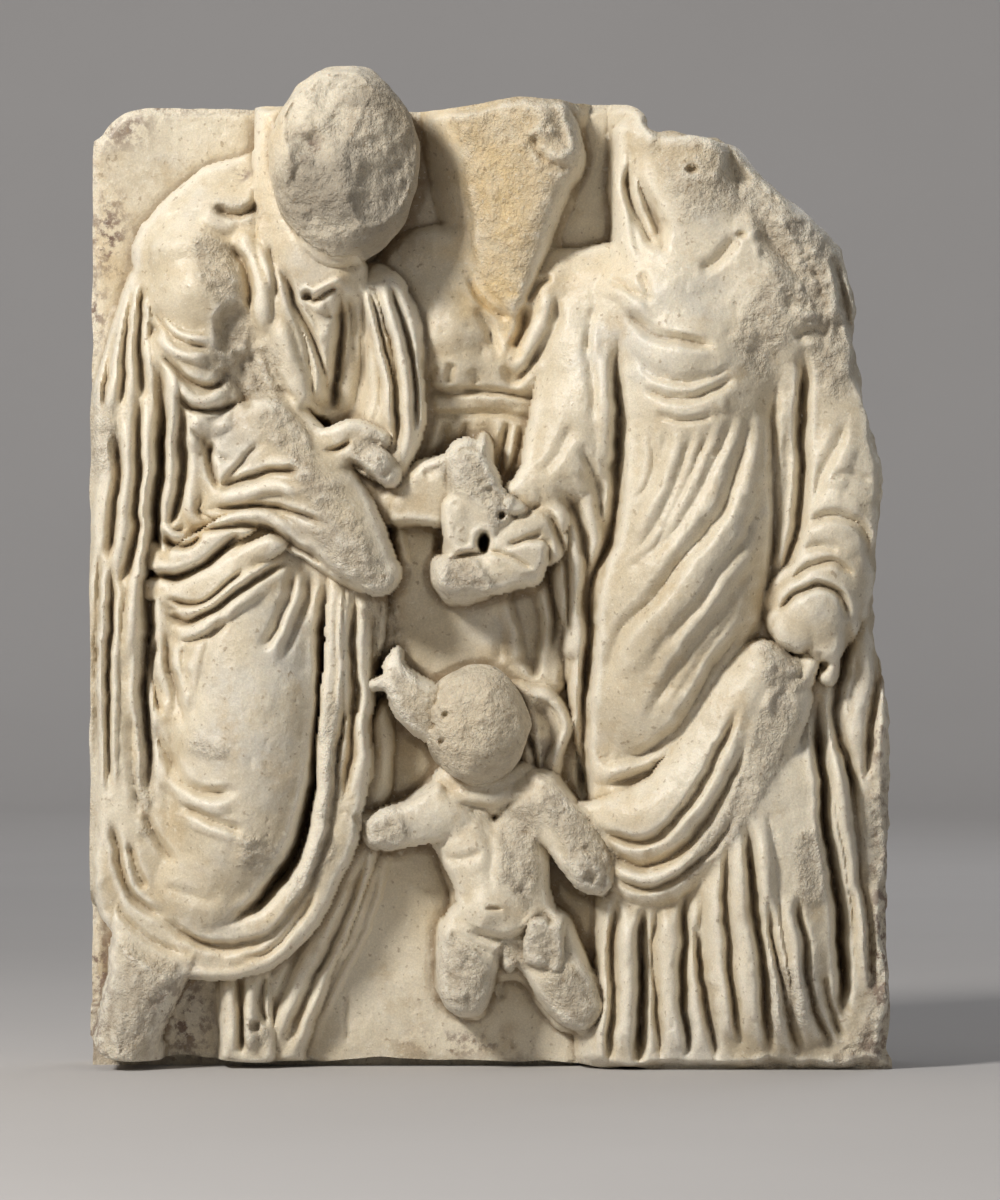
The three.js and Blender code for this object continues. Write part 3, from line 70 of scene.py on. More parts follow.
def curve(points, closed=False, steps=8):
    """A smooth line through a few points; any further numbers ride along."""
    p = np.array(points, float)
    if closed:
        q = np.vstack([p[-1], p, p[0], p[1]])
        spans = len(p)
    else:
        q = np.vstack([2 * p[0] - p[1], p, 2 * p[-1] - p[-2]])
        spans = len(p) - 1
    t = np.linspace(0, 1, steps, endpoint=False)[:, None]
    out = []
    for i in range(spans):
        a, b, c, d = q[i:i + 4]
        bend = (2 * a - 5 * b + 4 * c - d) * t ** 2 + (3 * b - a - 3 * c + d) * t ** 3
        out.append(0.5 * (2 * b + (c - a) * t + bend))
    if not closed:
        out.append(q[-2:-1])
    return np.vstack(out)


def lattice(i, j, k, seed):
    n = (i * 374761393 + j * 668265263 + k * 1442695041 + seed * 1274126177) & 0xFFFFFFFF
    n = ((n ^ (n >> 13)) * 1274126177) & 0xFFFFFFFF
    return ((n ^ (n >> 16)) & 0xFFFF) / 32767.5 - 1


def noise(x, y, z, size, seed=0):
    """Smooth lattice noise between -1 and 1, the same on every run."""
    x, y, z = np.broadcast_arrays(x, y, z)
    cells = [np.floor(v / size).astype(np.int64) for v in (x, y, z)]
    f = [ease(v / size - c) for v, c in zip((x, y, z), cells)]
    total = np.zeros(x.shape)
    for a in (0, 1):
        for b in (0, 1):
            for c in (0, 1):
                w = (f[0] if a else 1 - f[0]) * (f[1] if b else 1 - f[1]) * (f[2] if c else 1 - f[2])
                total += w * lattice(cells[0] + a, cells[1] + b, cells[2] + c, seed)
    return total


def crumble(x, y, z, size, seed=0):
    """The broken surface of coarse marble: lumps with sharp little ledges between them."""
    lumps = noise(x, y, z, size, seed) + 0.55 * noise(x, y, z, size * 0.46, seed + 1)
    ledges = 1 - 2 * np.abs(noise(x, y, z, size * 0.62, seed + 2))
    grains = 0.3 * noise(x, y, z, size * 0.2, seed + 3) + 0.14 * noise(x, y, z, size * 0.1, seed + 4)
    return 0.75 * lumps - 0.35 * ledges + 0.8 * grains


def soften(grid, reach):
    """Average over a square of the given half width, twice over."""
    out = grid
    n = 2 * reach + 1
    for _ in range(2):
        for axis in (0, 1):
            pad = [(0, 0), (0, 0)]
            pad[axis] = (reach + 1, reach)
            s = np.cumsum(np.pad(out, pad, mode="edge"), axis=axis)
            hi = np.take(s, np.arange(n, s.shape[axis]), axis=axis)
            lo = np.take(s, np.arange(0, s.shape[axis] - n), axis=axis)
            out = (hi - lo) / n
    return out


class Relief:
    """The worked face, as a depth at each point of a fine grid."""

    def __init__(self):
        self.xs = np.arange(-HALF_WIDTH - SPARE, HALF_WIDTH + SPARE + CELL, CELL)
        self.zs = np.arange(-SPARE, HEIGHT + SPARE + CELL, CELL)
        x, z = np.meshgrid(self.xs, self.zs)
        self.x = x + 1.2 * noise(x, 0, z, 19, 11) + 0.6 * noise(x, 0, z, 7, 12)
        self.z = z + 1.2 * noise(x, 0, z, 19, 13) + 0.6 * noise(x, 0, z, 7, 14)
        self.depth = np.zeros_like(self.x)
        self.broken = np.zeros_like(self.x)

    def near(self, points, margin, closed=False, each=2):
        """The part of the grid near a line: where, distance, share along it and what rides on it."""
        line = curve(np.reshape(points, (-1, each)), closed)
        pts = np.vstack([line, line[:1]]) if closed else line
        lo, hi = line[:, :2].min(0) - margin - 2, line[:, :2].max(0) + margin + 2
        i0, i1 = np.searchsorted(self.xs, [lo[0], hi[0]])
        j0, j1 = np.searchsorted(self.zs, [lo[1], hi[1]])
        w = (slice(j0, j1), slice(i0, i1))
        x, z = self.x[w], self.z[w]
        best = np.full(x.shape, 1e9)
        along = np.zeros(x.shape)
        riders = [np.zeros(x.shape) for _ in range(pts.shape[1] - 2)]
        inside = np.zeros(x.shape, bool)
        lengths = np.hypot(*np.diff(pts[:, :2], axis=0).T)
        done = 0.0
        for a, b, s in zip(pts[:-1], pts[1:], lengths):
            dx, dz = b[0] - a[0], b[1] - a[1]
            t = np.clip(((x - a[0]) * dx + (z - a[1]) * dz) / max(s * s, 1e-9), 0, 1)
            away = np.hypot(x - a[0] - t * dx, z - a[1] - t * dz)
            m = away < best
            best[m] = away[m]
            along[m] = ((done + t * s) / lengths.sum())[m]
            for r, va, vb in zip(riders, a[2:], b[2:]):
                r[m] = (va + (vb - va) * t)[m]
            if closed and a[1] != b[1]:
                inside ^= ((a[1] > z) != (b[1] > z)) & (x < dx * (z - a[1]) / dz + a[0])
            done += s
        return w, best, along, riders, inside

    def block(self, outline, depth, roundness, slope_x=0, slope_z=0):
        """A shape raised to a depth, its edge rounded over."""
        w, away, _, _, inside = self.near(outline, 2, True)
        mid = np.reshape(outline, (-1, 2)).mean(axis=0)
        e = np.where(inside, np.clip(away / roundness, 0, 1), 0)
        k = np.sqrt(1 - (1 - e) ** 2)
        top = depth + slope_x * (self.x[w] - mid[0]) + slope_z * (self.z[w] - mid[1])
        self.depth[w] = self.depth[w] * (1 - k) + top * k

    def sink(self, outline, depth, soft):
        """A hollow with sloping sides."""
        w, away, _, _, inside = self.near(outline, 2, True)
        k = ease(away / soft) * inside
        self.depth[w] = self.depth[w] * (1 - k) + np.minimum(self.depth[w], depth) * k

    def limb(self, points, blend):
        """A round form along a line whose points also hold the depth of its axis and its radius."""
        w, away, _, (axis, radius), _ = self.near(points, max(points[3::4]), each=4)
        d = self.depth[w]
        top = axis + np.sqrt(np.clip(radius ** 2 - away ** 2, 0, None))
        k = np.clip(0.5 + 0.5 * (top - d) / blend, 0, 1)
        joined = d * (1 - k) + top * k + blend * k * (1 - k)
        self.depth[w] = np.where(away < radius, np.maximum(joined, d), d)

    def ridge(self, points, width, rise):
        """A rounded fold that swells and dies away at its ends."""
        w, away, along, _, _ = self.near(points, width)
        k = (1 - np.clip(away / width, 0, 1) ** 2) ** 0.9
        self.depth[w] += RISE * rise * k * ease(np.minimum(along, 1 - along) / 0.25)

    def channel(self, points, width, cut):
        """A furrow with a sharp bottom, running out at its ends."""
        w, away, along, _, _ = self.near(points, width)
        k = (1 - np.clip(away / width, 0, 1)) ** 1.25
        self.depth[w] -= CUT * cut * k * ease(np.minimum(along, 1 - along) / 0.2)

    def fan(self, first, last, count, width, rise, cut):
        """Folds side by side, from the first line over to the last, with furrows between them."""
        first, last = np.array(first, float), np.array(last, float)
        for n in range(count):
            t = n / (count - 1)
            size = 1 + 0.25 * math.sin(5.1 * n + width)
            self.ridge(first + (last - first) * t, width * size, rise * size)
            if n < count - 1:
                t = (n + 0.5) / (count - 1)
                self.channel(first + (last - first) * t, width * 0.9, cut * (2 - size))

    def fracture(self, outline, depth, rough, soft):
        """A broken patch, levelled towards a depth if one is given, and roughened."""
        w, away, _, _, inside = self.near(outline, 2, True)
        x, z, d = self.x[w], self.z[w], self.depth[w]
        ragged = 3.5 * noise(x, 0, z, 13, 7) + 2 * noise(x, 0, z, 6, 8)
        k = ease((np.where(inside, away, -away) + ragged) / soft)
        if depth:
            d = d * (1 - k) + depth * k
        self.depth[w] = d + rough * k * crumble(x, d * 0.6, z, 15, 20)
        self.broken[w] = np.maximum(self.broken[w], k)

    def drill(self, x, z, rx, rz, cut):
        """A drilled hole, round or oval, with a soft rim."""
        w = self.near([x, z, x, z + 0.1], 2 * max(rx, rz))[0]
        r = np.hypot((self.x[w] - x) / rx, (self.z[w] - z) / rz)
        self.depth[w] -= cut * ease(1.4 - r)


def middle_figure(s):
    s.block([-60,225, -62,330, -60,420, -54,487, -20,489, 8,480, 40,483, 80,490, 86,440, 66,380, 46,300,
        40,225], 13, 10)
    s.limb([-52,478,-6,26, -30,484,-4,29, 0,470,-2,30, 40,470,0,28, 76,476,6,26], 10)
    s.limb([-46,440,-4,26, 0,430,-4,30, 40,430,-4,30, 60,440,0,26], 10)
    s.limb([-26,466,2,26, -24,445,6,27, -22,432,6,23], 10)
    s.limb([44,468,2,24, 38,445,6,24, 33,428,4,20], 10)
    s.limb([8,586,-14,52, 8,545,-14,48, 7,510,-12,38, 11,480,-8,30, 13,462,0,18], 14)
    s.block([-14,600, -16,570, -14,540, -11,510, -9,490, 2,468, 13,455, 20,464, 30,484, 37,501, 43,518,
        48,531, 55,540, 58,552, 55,568, 47,584, 46,600], 41, 20, 0.3, 0.03)
    s.fracture([-26,600, -22,562, -14,520, -12,488, 2,466, 14,456, 24,472, 36,500, 44,520, 56,538, 58,552,
        52,600], 0, 1.3, 10)
    s.fracture([10,600, 20,570, 34,548, 44,536, 57,540, 60,552, 54,600], 0, 2.4, 8)
    s.sink([26,592, 31,568, 40,553, 52,552, 50,580, 44,592], 40, 12)
    s.channel([24,566, 30,553, 40,545, 50,541], 4, 3)
    s.channel([-16,482, -8,468, 2,458, 13,453], 4, 3)
    s.channel([20,464, 28,474, 38,479], 4, 3)
    s.channel([-10,462, -2,450, 4,438, 8,426], 5, 3)
    s.channel([20,464, 20,452, 16,438, 10,424], 6, 8)
    s.ridge([35,474, 32,456, 25,441, 17,428], 6, 4)
    s.channel([41,466, 41,450, 34,438, 24,426, 16,414], 5, 6)
    s.ridge([50,466, 50,446, 44,428], 7, 3)
    s.channel([50,440, 46,426, 40,412], 5, 3)
    s.drill(14, 420, 7, 8, 5)
    s.limb([9,432,16,9, 16,428,18,8], 4)
    s.channel([-38,466, -41,450, -40,430], 6, 2)
    s.channel([-24,428, -26,414], 5, 3)
    s.channel([-34,426, -37,414], 4, 2)
    s.channel([-12,424, -9,414], 4, 2)
    s.channel([-46,410, -22,411, 0,410, 20,406, 50,402], 4, 3.5)
    s.ridge([-46,404, 0,404, 20,400, 52,395], 5, 2)
    s.channel([-44,397, 0,397, 20,393, 44,389], 3.5, 2)
    s.fan([-32,394, -34,380, -40,362], [-8,394, -8,380, -12,364], 3, 5, 1, 2)
    s.fan([6,394, 4,376, -2,354], [36,388, 31,372, 20,350], 4, 5, 1.5, 3)
    s.channel([13,290, 20,270, 24,240], 7, 8)
    s.channel([2,282, 6,262, 6,244], 6, 2)


def man_back_drapery(s):
    s.block([-58,230, -60,180, -66,140, -76,108, -88,76, -100,44, -112,10, -112,-8, -170,-8, -168,40,
        -160,66, -130,80, -100,120, -84,200], 16, 12, 0.05)
    s.ridge([-64,150, -69,122, -79,92, -91,64, -106,36, -118,6], 9, 7)
    s.channel([-74,134, -84,102, -95,76, -108,50, -121,22, -126,4], 6, 6)
    s.ridge([-86,120, -97,92, -109,66, -122,38, -132,6], 8, 5)
    s.channel([-112,80, -122,54, -134,28, -140,6], 5, 5)
    s.block([-128,76, -134,56, -131,30, -134,2, -166,2, -164,30, -162,66, -146,74], 22, 6)
    s.channel([-137,60, -138,40, -135,24], 4, 6)
    s.ridge([-144,60, -145,36, -146,6], 5, 4)
    s.channel([-150,62, -151,40, -152,8], 4, 7)
    s.ridge([-157,62, -156,34, -157,6], 5, 3)
    s.fracture([-150,34, -140,34, -136,18, -148,16], 0, 1.6, 3)
    s.drill(-143, 26, 3, 4, 5)
    s.channel([-66,128, -73,100, -84,72, -98,46, -112,20], 4, 3)
    s.channel([-88,46, -89,30, -88,12], 3, 1.5)


def man_leg(s):
    s.block([-184,74, -192,60, -200,42, -208,24, -210,4, -236,4, -246,16, -244,30, -236,50, -230,76,
        -222,92], 26, 16, 0.1, 0.1)
    s.limb([-200,92,14,28, -208,60,18,25, -218,30,22,21, -224,8,22,20], 8)
    s.limb([-244,24,10,16, -226,12,16,18, -210,10,16,12], 6)
    s.fracture([-250,34, -232,60, -222,86, -186,62, -186,44, -198,26, -202,4, -250,4], 0, 1.5, 10)
    s.fracture([-250,40, -240,44, -226,26, -214,18, -206,2, -250,2], 0, 1.8, 6)
    s.sink([-196,12, -194,34, -178,56, -168,58, -164,30, -166,-4, -198,-4], -4, 5)


def man_body(s):
    s.block([-134,548, -152,543, -176,533, -192,521, -206,504, -216,488, -223,474, -230,452, -236,430,
        -246,405, -252,380, -252,130, -240,98, -226,78, -204,62, -180,54, -150,56, -128,64, -110,80,
        -98,98, -88,120, -82,152, -76,205, -66,250, -62,300, -58,350, -44,366, -40,400, -41,440, -46,465,
        -58,482, -76,490, -100,480, -126,500], 38, 22, 0.05)
    s.limb([-138,538,2,20, -166,522,6,26, -190,494,8,28], 10)
    s.limb([-178,490,22,28, -174,470,28,31, -170,448,25,29], 12)
    s.limb([-180,430,26,28, -176,400,22,28], 12)
    s.limb([-140,500,18,22, -128,460,24,26, -116,420,20,24], 12)
    s.limb([-62,470,28,13, -56,430,32,13, -52,390,34,13, -58,366,36,10], 5)
    s.limb([-150,290,16,42, -146,220,20,46, -152,150,18,44, -168,110,14,36], 12)
    s.limb([-214,400,8,26, -216,300,6,26, -218,200,6,26, -216,120,8,24], 10)
    s.limb([-84,290,22,16, -84,240,22,14, -86,180,24,14], 6)


def man_neck(s):
    s.limb([-128,566,4,12, -126,530,12,15, -120,492,18,18, -110,470,18,18], 6)
    s.ridge([-131,586, -131,560, -134,541], 4, 3)
    s.ridge([-136,528, -137,505, -132,480, -124,462], 5, 4)
    s.sink([-112,490, -100,494, -84,490, -78,484, -86,478, -100,474, -112,478], 30, 5)
    s.fracture([-168,526, -150,526, -136,520, -138,514, -154,512, -170,516], 0, 1.5, 3)
    s.channel([-168,522, -156,517, -144,520, -136,524], 5, 6)
    s.ridge([-176,519, -164,511, -152,508], 6, 4)


def man_chest(s):
    s.sink([-112,404, -108,380, -96,376, -76,386, -68,404, -70,440, -76,462, -86,470, -94,460, -100,430,
        -104,412], 20, 14)
    s.ridge([-162,504, -148,498, -140,482, -138,462, -140,440], 7, 6)
    s.channel([-156,497, -148,486, -145,470, -147,456], 4, 5)
    s.channel([-134,498, -131,480, -128,462], 3, 3)
    s.channel([-126,484, -120,468, -112,452, -104,434, -98,412, -96,398], 4, 7)
    s.channel([-122,478, -118,458, -112,440, -108,418, -106,398], 3, 3)
    s.ridge([-130,456, -124,436, -117,414, -110,392], 7, 5)
    s.channel([-138,436, -130,420, -122,400], 5, 3)
    s.drill(-110, 466, 3, 3, 9)
    s.ridge([-116,472, -106,468, -96,474, -88,477], 3, 4)
    s.channel([-108,462, -100,468, -92,472], 3, 6)
    s.ridge([-106,464, -100,452, -97,438], 5, 4)
    s.channel([-91,474, -90,450, -92,425, -95,396], 4, 12)
    s.ridge([-84,470, -84,440, -86,412, -90,396], 6, 5)
    s.channel([-78,470, -76,440, -78,410], 4, 4)
    s.channel([-110,402, -109,386, -104,372], 6, 14)
    s.sink([-112,396, -110,380, -102,374, -96,380, -98,394], 8, 4)


def man_bundle(s):
    s.ridge([-78,482, -70,455, -64,428, -61,405, -64,391, -73,384], 5, 8)
    s.channel([-74,476, -66,446, -59,415, -57,384, -60,368], 3, 9)
    s.ridge([-68,482, -59,456, -53,432, -50,408, -49,386, -52,370, -60,360], 5, 7)
    s.channel([-62,478, -53,452, -48,428, -45,402, -45,380], 3, 7)
    s.ridge([-60,482, -49,462, -44,440, -42,410, -42,385, -41,366], 4, 4)
    s.channel([-66,462, -60,440, -56,416], 2.5, 3)
    s.limb([-108,378,40,7, -96,381,46,8, -82,385,48,8, -68,380,46,7], 3)
    s.limb([-104,368,42,6, -92,370,48,7, -80,378,48,6], 3)
    s.limb([-84,374,46,9, -70,366,50,10, -60,360,46,8], 4)
    s.channel([-106,373, -94,375, -84,380], 2.5, 6)
    s.channel([-88,366, -78,362, -66,352], 4, 8)
    s.fracture([-84,382, -62,384, -54,370, -60,352, -76,352, -84,364], 0, 2.2, 5)
    s.channel([-74,346, -64,330, -54,322], 4, 6)
    s.ridge([-66,346, -56,326, -52,300], 5, 6)


def man_side(s):
    s.fan([-206,480, -207,450, -206,425, -204,405], [-224,466, -232,440, -238,415, -240,390], 4, 4.5, 4,
        6)
    s.channel([-228,388, -226,362, -228,335, -231,306], 5, 10)
    s.ridge([-220,402, -219,368, -222,330, -228,290], 5, 6)
    s.channel([-213,412, -212,380, -214,325, -224,288], 4, 9)
    s.ridge([-207,412, -206,360, -211,310, -217,270, -221,236], 5, 8)
    s.channel([-200,436, -198,380, -203,325, -207,270, -209,215, -207,185, -203,150], 6, 20)
    s.ridge([-193,432, -192,380, -194,350, -198,322], 5, 8)
    s.channel([-187,402, -185,376, -187,350, -192,326], 3.5, 10)
    s.ridge([-180,394, -178,365, -180,340, -178,326], 5, 7)
    s.channel([-171,378, -169,356, -176,338], 4, 9)
    s.ridge([-186,334, -192,326, -184,320], 4, 4)
    s.fracture([-246,414, -228,410, -224,384, -226,366, -246,360], 0, 2.0, 5)
    s.fracture([-212,260, -204,258, -202,180, -206,140, -216,160, -216,220], 0, 1.2, 4)
    s.fan([-224,300, -226,250, -228,205, -228,160], [-240,330, -242,270, -242,215, -240,165], 3, 4.5, 4,
        6)


def man_waist(s):
    s.limb([-206,312,24,8, -194,305,34,9, -180,311,40,10, -162,324,46,9, -146,331,50,7], 3)
    s.channel([-198,324, -190,316, -180,318, -172,326], 4, 10)
    s.ridge([-204,325, -196,328, -188,322, -178,326], 3.5, 5)
    s.channel([-206,300, -192,297, -178,302, -162,314, -148,326], 4, 14)
    s.limb([-204,290,26,7, -186,286,36,8, -166,296,44,9, -148,308,48,8, -128,319,50,7], 3)
    s.channel([-196,284, -180,281, -164,289, -146,303], 3, 6)
    s.ridge([-196,280, -182,276, -164,284, -146,296, -124,310], 4, 4)
    s.channel([-198,276, -184,271, -168,278, -152,288, -138,298, -120,308], 4, 10)
    s.ridge([-198,268, -182,264, -164,272, -148,283, -130,296], 5, 4)
    s.channel([-186,258, -172,262, -156,272], 4, 3)
    s.channel([-202,264, -204,240, -199,212], 4, 8)


def man_thigh(s):
    s.channel([-117,305, -122,284, -130,266, -140,254], 6, 5)
    s.ridge([-113,304, -118,282, -125,262, -134,246], 6, 3)
    s.channel([-108,302, -113,282, -120,262, -126,248], 6, 5)
    s.channel([-160,282, -170,252, -177,228, -180,206], 6, 3)
    s.ridge([-168,262, -177,240, -182,216], 6, 2)
    s.channel([-196,266, -193,240, -187,218, -182,202], 5, 4)
    s.ridge([-190,264, -187,240, -182,214], 5, 3)
    s.channel([-185,258, -183,234, -180,212], 4, 2)
    s.channel([-204,262, -202,240, -196,220], 5, 4)
    s.channel([-206,212, -200,196, -192,184, -180,172, -162,168, -148,170], 6, 5)
    s.ridge([-200,190, -188,172, -172,163, -150,162], 7, 3)
    s.channel([-188,161, -176,156, -162,150, -146,145], 5, 4)
    s.ridge([-186,154, -168,148, -150,142], 6, 2)
    s.channel([-208,158, -202,140, -190,124], 5, 4)
    s.channel([-198,112, -180,106, -160,104], 7, 2)
    s.fracture([-152,142, -136,146, -124,132, -128,116, -148,118], 0, 2.0, 8)
    s.fracture([-180,204, -160,202, -150,190, -168,184, -186,192], 0, 1.0, 6)


def man_hem(s):
    s.channel([-101,300, -101,262, -101,215, -104,185, -110,158, -117,132, -129,112, -145,97, -164,86], 6,
        26)
    s.channel([-104,182, -112,152, -122,128, -136,108], 7, 10)
    s.limb([-94,296,40,5, -95,250,40,6, -97,205,40,7, -99,165,40,8, -105,134,40,8, -116,110,38,8,
        -131,93,36,8, -152,84,34,8, -176,84,30,8, -198,96,26,7], 4)
    s.fracture([-102,222, -92,222, -90,170, -96,132, -112,100, -122,104, -106,138, -102,180], 0, 1.1, 2)
    s.channel([-206,104, -196,90, -182,80, -164,74, -148,75, -132,82, -118,96, -106,118, -96,146, -92,172,
        -90,205, -86,232], 5, 8)
    s.limb([-234,150,12,12, -232,118,14,13, -222,94,16,13, -206,76,20,12, -182,66,22,12, -154,66,26,11,
        -130,76,28,11, -112,94,30,11, -98,120,32,10, -88,150,34,10, -83,178,34,9, -81,208,34,8], 6)
    s.channel([-228,152, -225,130, -220,112, -208,98, -194,90], 5, 6)
    s.channel([-219,138, -214,122, -206,108], 5, 4)
    s.channel([-228,108, -222,94, -210,82, -196,74, -180,69], 4, 3)
    s.channel([-150,66, -132,74, -116,90, -104,112], 4, 3)
    s.ridge([-190,60, -168,57, -150,58, -134,66], 5, 2)
    s.channel([-217,218, -217,190, -211,150], 6, 4)
    s.ridge([-88,296, -89,262, -89,235, -90,212], 4, 4)
    s.channel([-81,292, -83,256, -82,226, -85,186, -90,158], 4, 9)
    s.ridge([-76,290, -76,262, -76,232, -76,200, -80,165], 5, 5)
    s.channel([-71,286, -71,250, -71,215, -74,180], 3, 4)
    s.ridge([-66,288, -65,258, -66,230], 5, 4)
    s.fracture([-76,296, -56,298, -56,262, -62,244, -74,250], 0, 2.6, 5)


def man_arm(s):
    s.block([-178,346, -174,376, -160,398, -134,405, -118,397, -105,374, -90,350, -76,330, -62,304,
        -57,292, -78,288, -100,299, -118,311, -140,324, -168,334], 56, 14, 0.2)
    s.limb([-132,384,28,26, -116,364,34,27, -98,340,42,25, -80,316,48,21, -68,300,50,14], 10)
    s.fracture([-186,500, -172,506, -158,496, -147,478, -141,450, -138,430, -150,426, -162,432, -168,455,
        -178,478], 0, 1.7, 8)
    s.sink([-168,456, -152,464, -140,454, -142,434, -158,428, -168,438], 43, 10)
    s.fracture([-168,440, -146,446, -126,432, -120,408, -136,398, -158,400, -172,414], 0, 2.2, 10)
    s.fracture([-150,392, -136,404, -118,398, -102,372, -84,346, -66,312, -54,294, -66,284, -92,294,
        -104,316, -112,340, -126,364, -140,376], 0, 2.0, 10)
    s.channel([-164,424, -152,410, -144,396], 5, 4)
    s.ridge([-206,468, -202,455, -191,446, -177,440, -165,439], 4, 4)
    s.channel([-203,462, -196,449, -184,440, -170,434], 3, 4)
    s.ridge([-200,448, -191,436, -180,430, -168,428], 4, 4)
    s.channel([-198,434, -187,420, -176,413, -165,413, -158,422], 4, 6)
    s.ridge([-194,418, -180,404, -168,404, -158,412], 5, 5)
    s.channel([-190,408, -178,398, -164,398, -152,403], 3, 7)
    s.ridge([-182,394, -168,386, -154,394], 5, 3)
    s.channel([-182,388, -166,372, -154,366], 4, 3)
    s.channel([-170,380, -168,364, -163,350], 4, 8)
    s.channel([-163,351, -150,366, -140,380], 4, 4)
    s.channel([-164,351, -146,357, -128,361, -112,362], 4, 8)
    s.ridge([-170,344, -150,347, -130,351, -108,348], 5, 5)
    s.channel([-168,338, -140,340, -118,337, -98,328], 3, 7)
    s.ridge([-184,331, -160,335, -138,334, -112,322], 5, 5)
    s.channel([-186,324, -160,328, -136,326, -112,313, -94,300], 4, 9)


def woman_body(s):
    s.block([76,572, 76,545, 74,520, 72,496, 70,478, 60,452, 52,420, 44,398, 28,372, 14,350, 24,336,
        34,310, 38,290, 44,262, 46,232, 50,206, 52,196, 58,178, 60,158, 56,140, 62,112, 64,70, 64,-8,
        252,-8, 252,330, 250,366, 240,400, 234,440, 226,480, 214,505, 196,524, 176,545, 156,566, 128,580,
        100,582], 34, 20)
    s.limb([112,576,-10,40, 116,540,0,44, 118,505,6,44], 14)
    s.limb([112,462,10,50, 122,430,12,55, 126,380,10,56, 122,330,14,56, 112,280,14,54, 104,232,8,48], 16)
    s.limb([156,490,8,50, 176,450,8,50, 186,410,6,40], 16)
    s.limb([72,466,4,30, 62,430,12,32, 55,396,18,31, 46,368,22,27], 14)
    s.block([8,352, 20,354, 36,356, 54,362, 70,366, 76,330, 70,300, 64,262, 54,248, 44,252, 45,280,
        42,304, 34,322, 24,332, 14,336], 40, 18, -0.1, 0.1)
    s.limb([60,398,14,30, 48,374,22,27, 34,356,32,21, 20,347,42,13], 14)
    s.limb([196,500,0,34, 208,450,4,38, 212,400,12,38, 212,350,18,38, 206,315,24,34, 195,278,32,30], 12)
    s.limb([150,190,12,44, 164,120,8,48, 170,50,4,48], 14)
    s.limb([188,170,20,32, 190,130,20,32, 184,60,14,32], 12)
    s.limb([226,290,8,20, 230,220,8,20, 232,140,6,18, 234,60,4,16], 8)


def woman_head(s):
    s.sink([86,545, 86,522, 92,506, 104,492, 110,506, 104,522, 96,536], 30, 10)
    s.ridge([78,566, 78,540, 79,515, 83,496, 90,482], 6, 5)
    s.channel([84,548, 84,530, 90,512, 97,500, 104,492], 5, 9)
    s.limb([122,560,26,20, 124,536,28,24, 126,512,28,25, 122,496,24,22], 14)
    s.fracture([92,576, 90,552, 96,536, 104,524, 112,508, 120,506, 138,516, 150,508, 158,484, 148,462,
        142,440, 146,424, 158,410, 168,408, 176,430, 184,440, 190,424, 197,408, 212,400, 226,420, 224,470,
        208,504, 186,524, 168,546, 146,566, 120,578], 0, 1.9, 14)
    s.fracture([146,548, 156,520, 158,480, 170,450, 196,440, 214,430, 216,470, 204,504, 186,524, 168,544],
        0, 2.2, 14)
    s.sink([152,560, 162,534, 180,520, 198,516, 176,546], 34, 16)
    s.sink([156,500, 164,520, 186,500, 190,470, 172,480], 44, 16)
    s.channel([124,482, 134,486, 142,494, 150,503], 7, 4)
    s.drill(151, 503, 3, 2.5, 3)
    s.drill(121, 543, 3.5, 2.5, 5)
    s.channel([116,548, 124,546], 2.5, 1)
    s.channel([206,492, 211,474, 217,452, 221,436], 5, 8)
    s.ridge([198,496, 206,470, 212,446], 7, 3)
    s.channel([182,440, 194,446, 206,444], 8, 4)


def woman_neckline(s):
    s.ridge([64,474, 76,469, 86,460, 96,450], 6, 3)
    s.channel([70,476, 80,473, 90,467, 98,461], 4, 2.5)
    s.channel([90,482, 94,471, 98,461], 4, 2.5)
    s.channel([80,460, 88,451, 98,443, 112,439, 136,437], 6, 6)
    s.ridge([80,448, 92,436, 110,429, 134,428], 8, 2.5)
    s.channel([84,432, 96,421, 112,416, 132,417, 148,424], 5, 2.5)
    s.channel([90,413, 106,406, 128,407, 150,418], 5, 3.5)
    s.ridge([88,406, 106,399, 130,399, 152,408], 6, 2)
    s.channel([98,396, 114,392, 134,394], 4, 2)
    s.channel([64,462, 60,448, 58,430], 4, 2)


def woman_torso(s):
    s.fan([96,390, 96,372, 93,354, 87,338], [132,390, 119,362, 104,325, 80,296], 3, 7, 1.2, 2.4)
    s.channel([135,394, 120,362, 104,325, 94,311, 77,297], 6, 3)
    s.channel([95,388, 97,370, 93,352, 85,339], 5, 2.5)
    s.channel([150,402, 142,385, 128,355, 110,325, 92,304], 6, 2.5)
    s.channel([160,408, 154,385, 142,345, 120,314, 96,284, 78,262, 66,222], 8, 4.5)
    s.ridge([166,400, 160,372, 150,338, 128,304, 104,276, 86,250, 74,226], 9, 3)
    s.channel([160,344, 152,320, 136,296, 118,272, 102,250], 6, 2)
    s.channel([162,314, 142,285, 120,255, 101,226, 94,208], 7, 3)
    s.ridge([164,326, 146,300, 126,272, 108,248, 94,222], 8, 2.4)
    s.channel([156,274, 134,240, 112,208, 98,194, 78,184], 7, 6)
    s.ridge([162,292, 146,262, 124,230, 104,206], 8, 2.6)
    s.channel([162,272, 156,250, 145,214, 134,192], 6, 4)
    s.ridge([158,262, 149,236, 136,208, 120,190], 6, 3)
    s.channel([172,418, 170,380, 172,320, 169,285, 159,264], 5, 6)
    s.ridge([179,424, 178,380, 179,330, 175,296], 6, 3)
    s.channel([166,410, 164,384, 163,356], 5, 1.6)
    s.channel([187,438, 188,400, 187,360, 184,325, 176,300, 166,284], 6, 14)


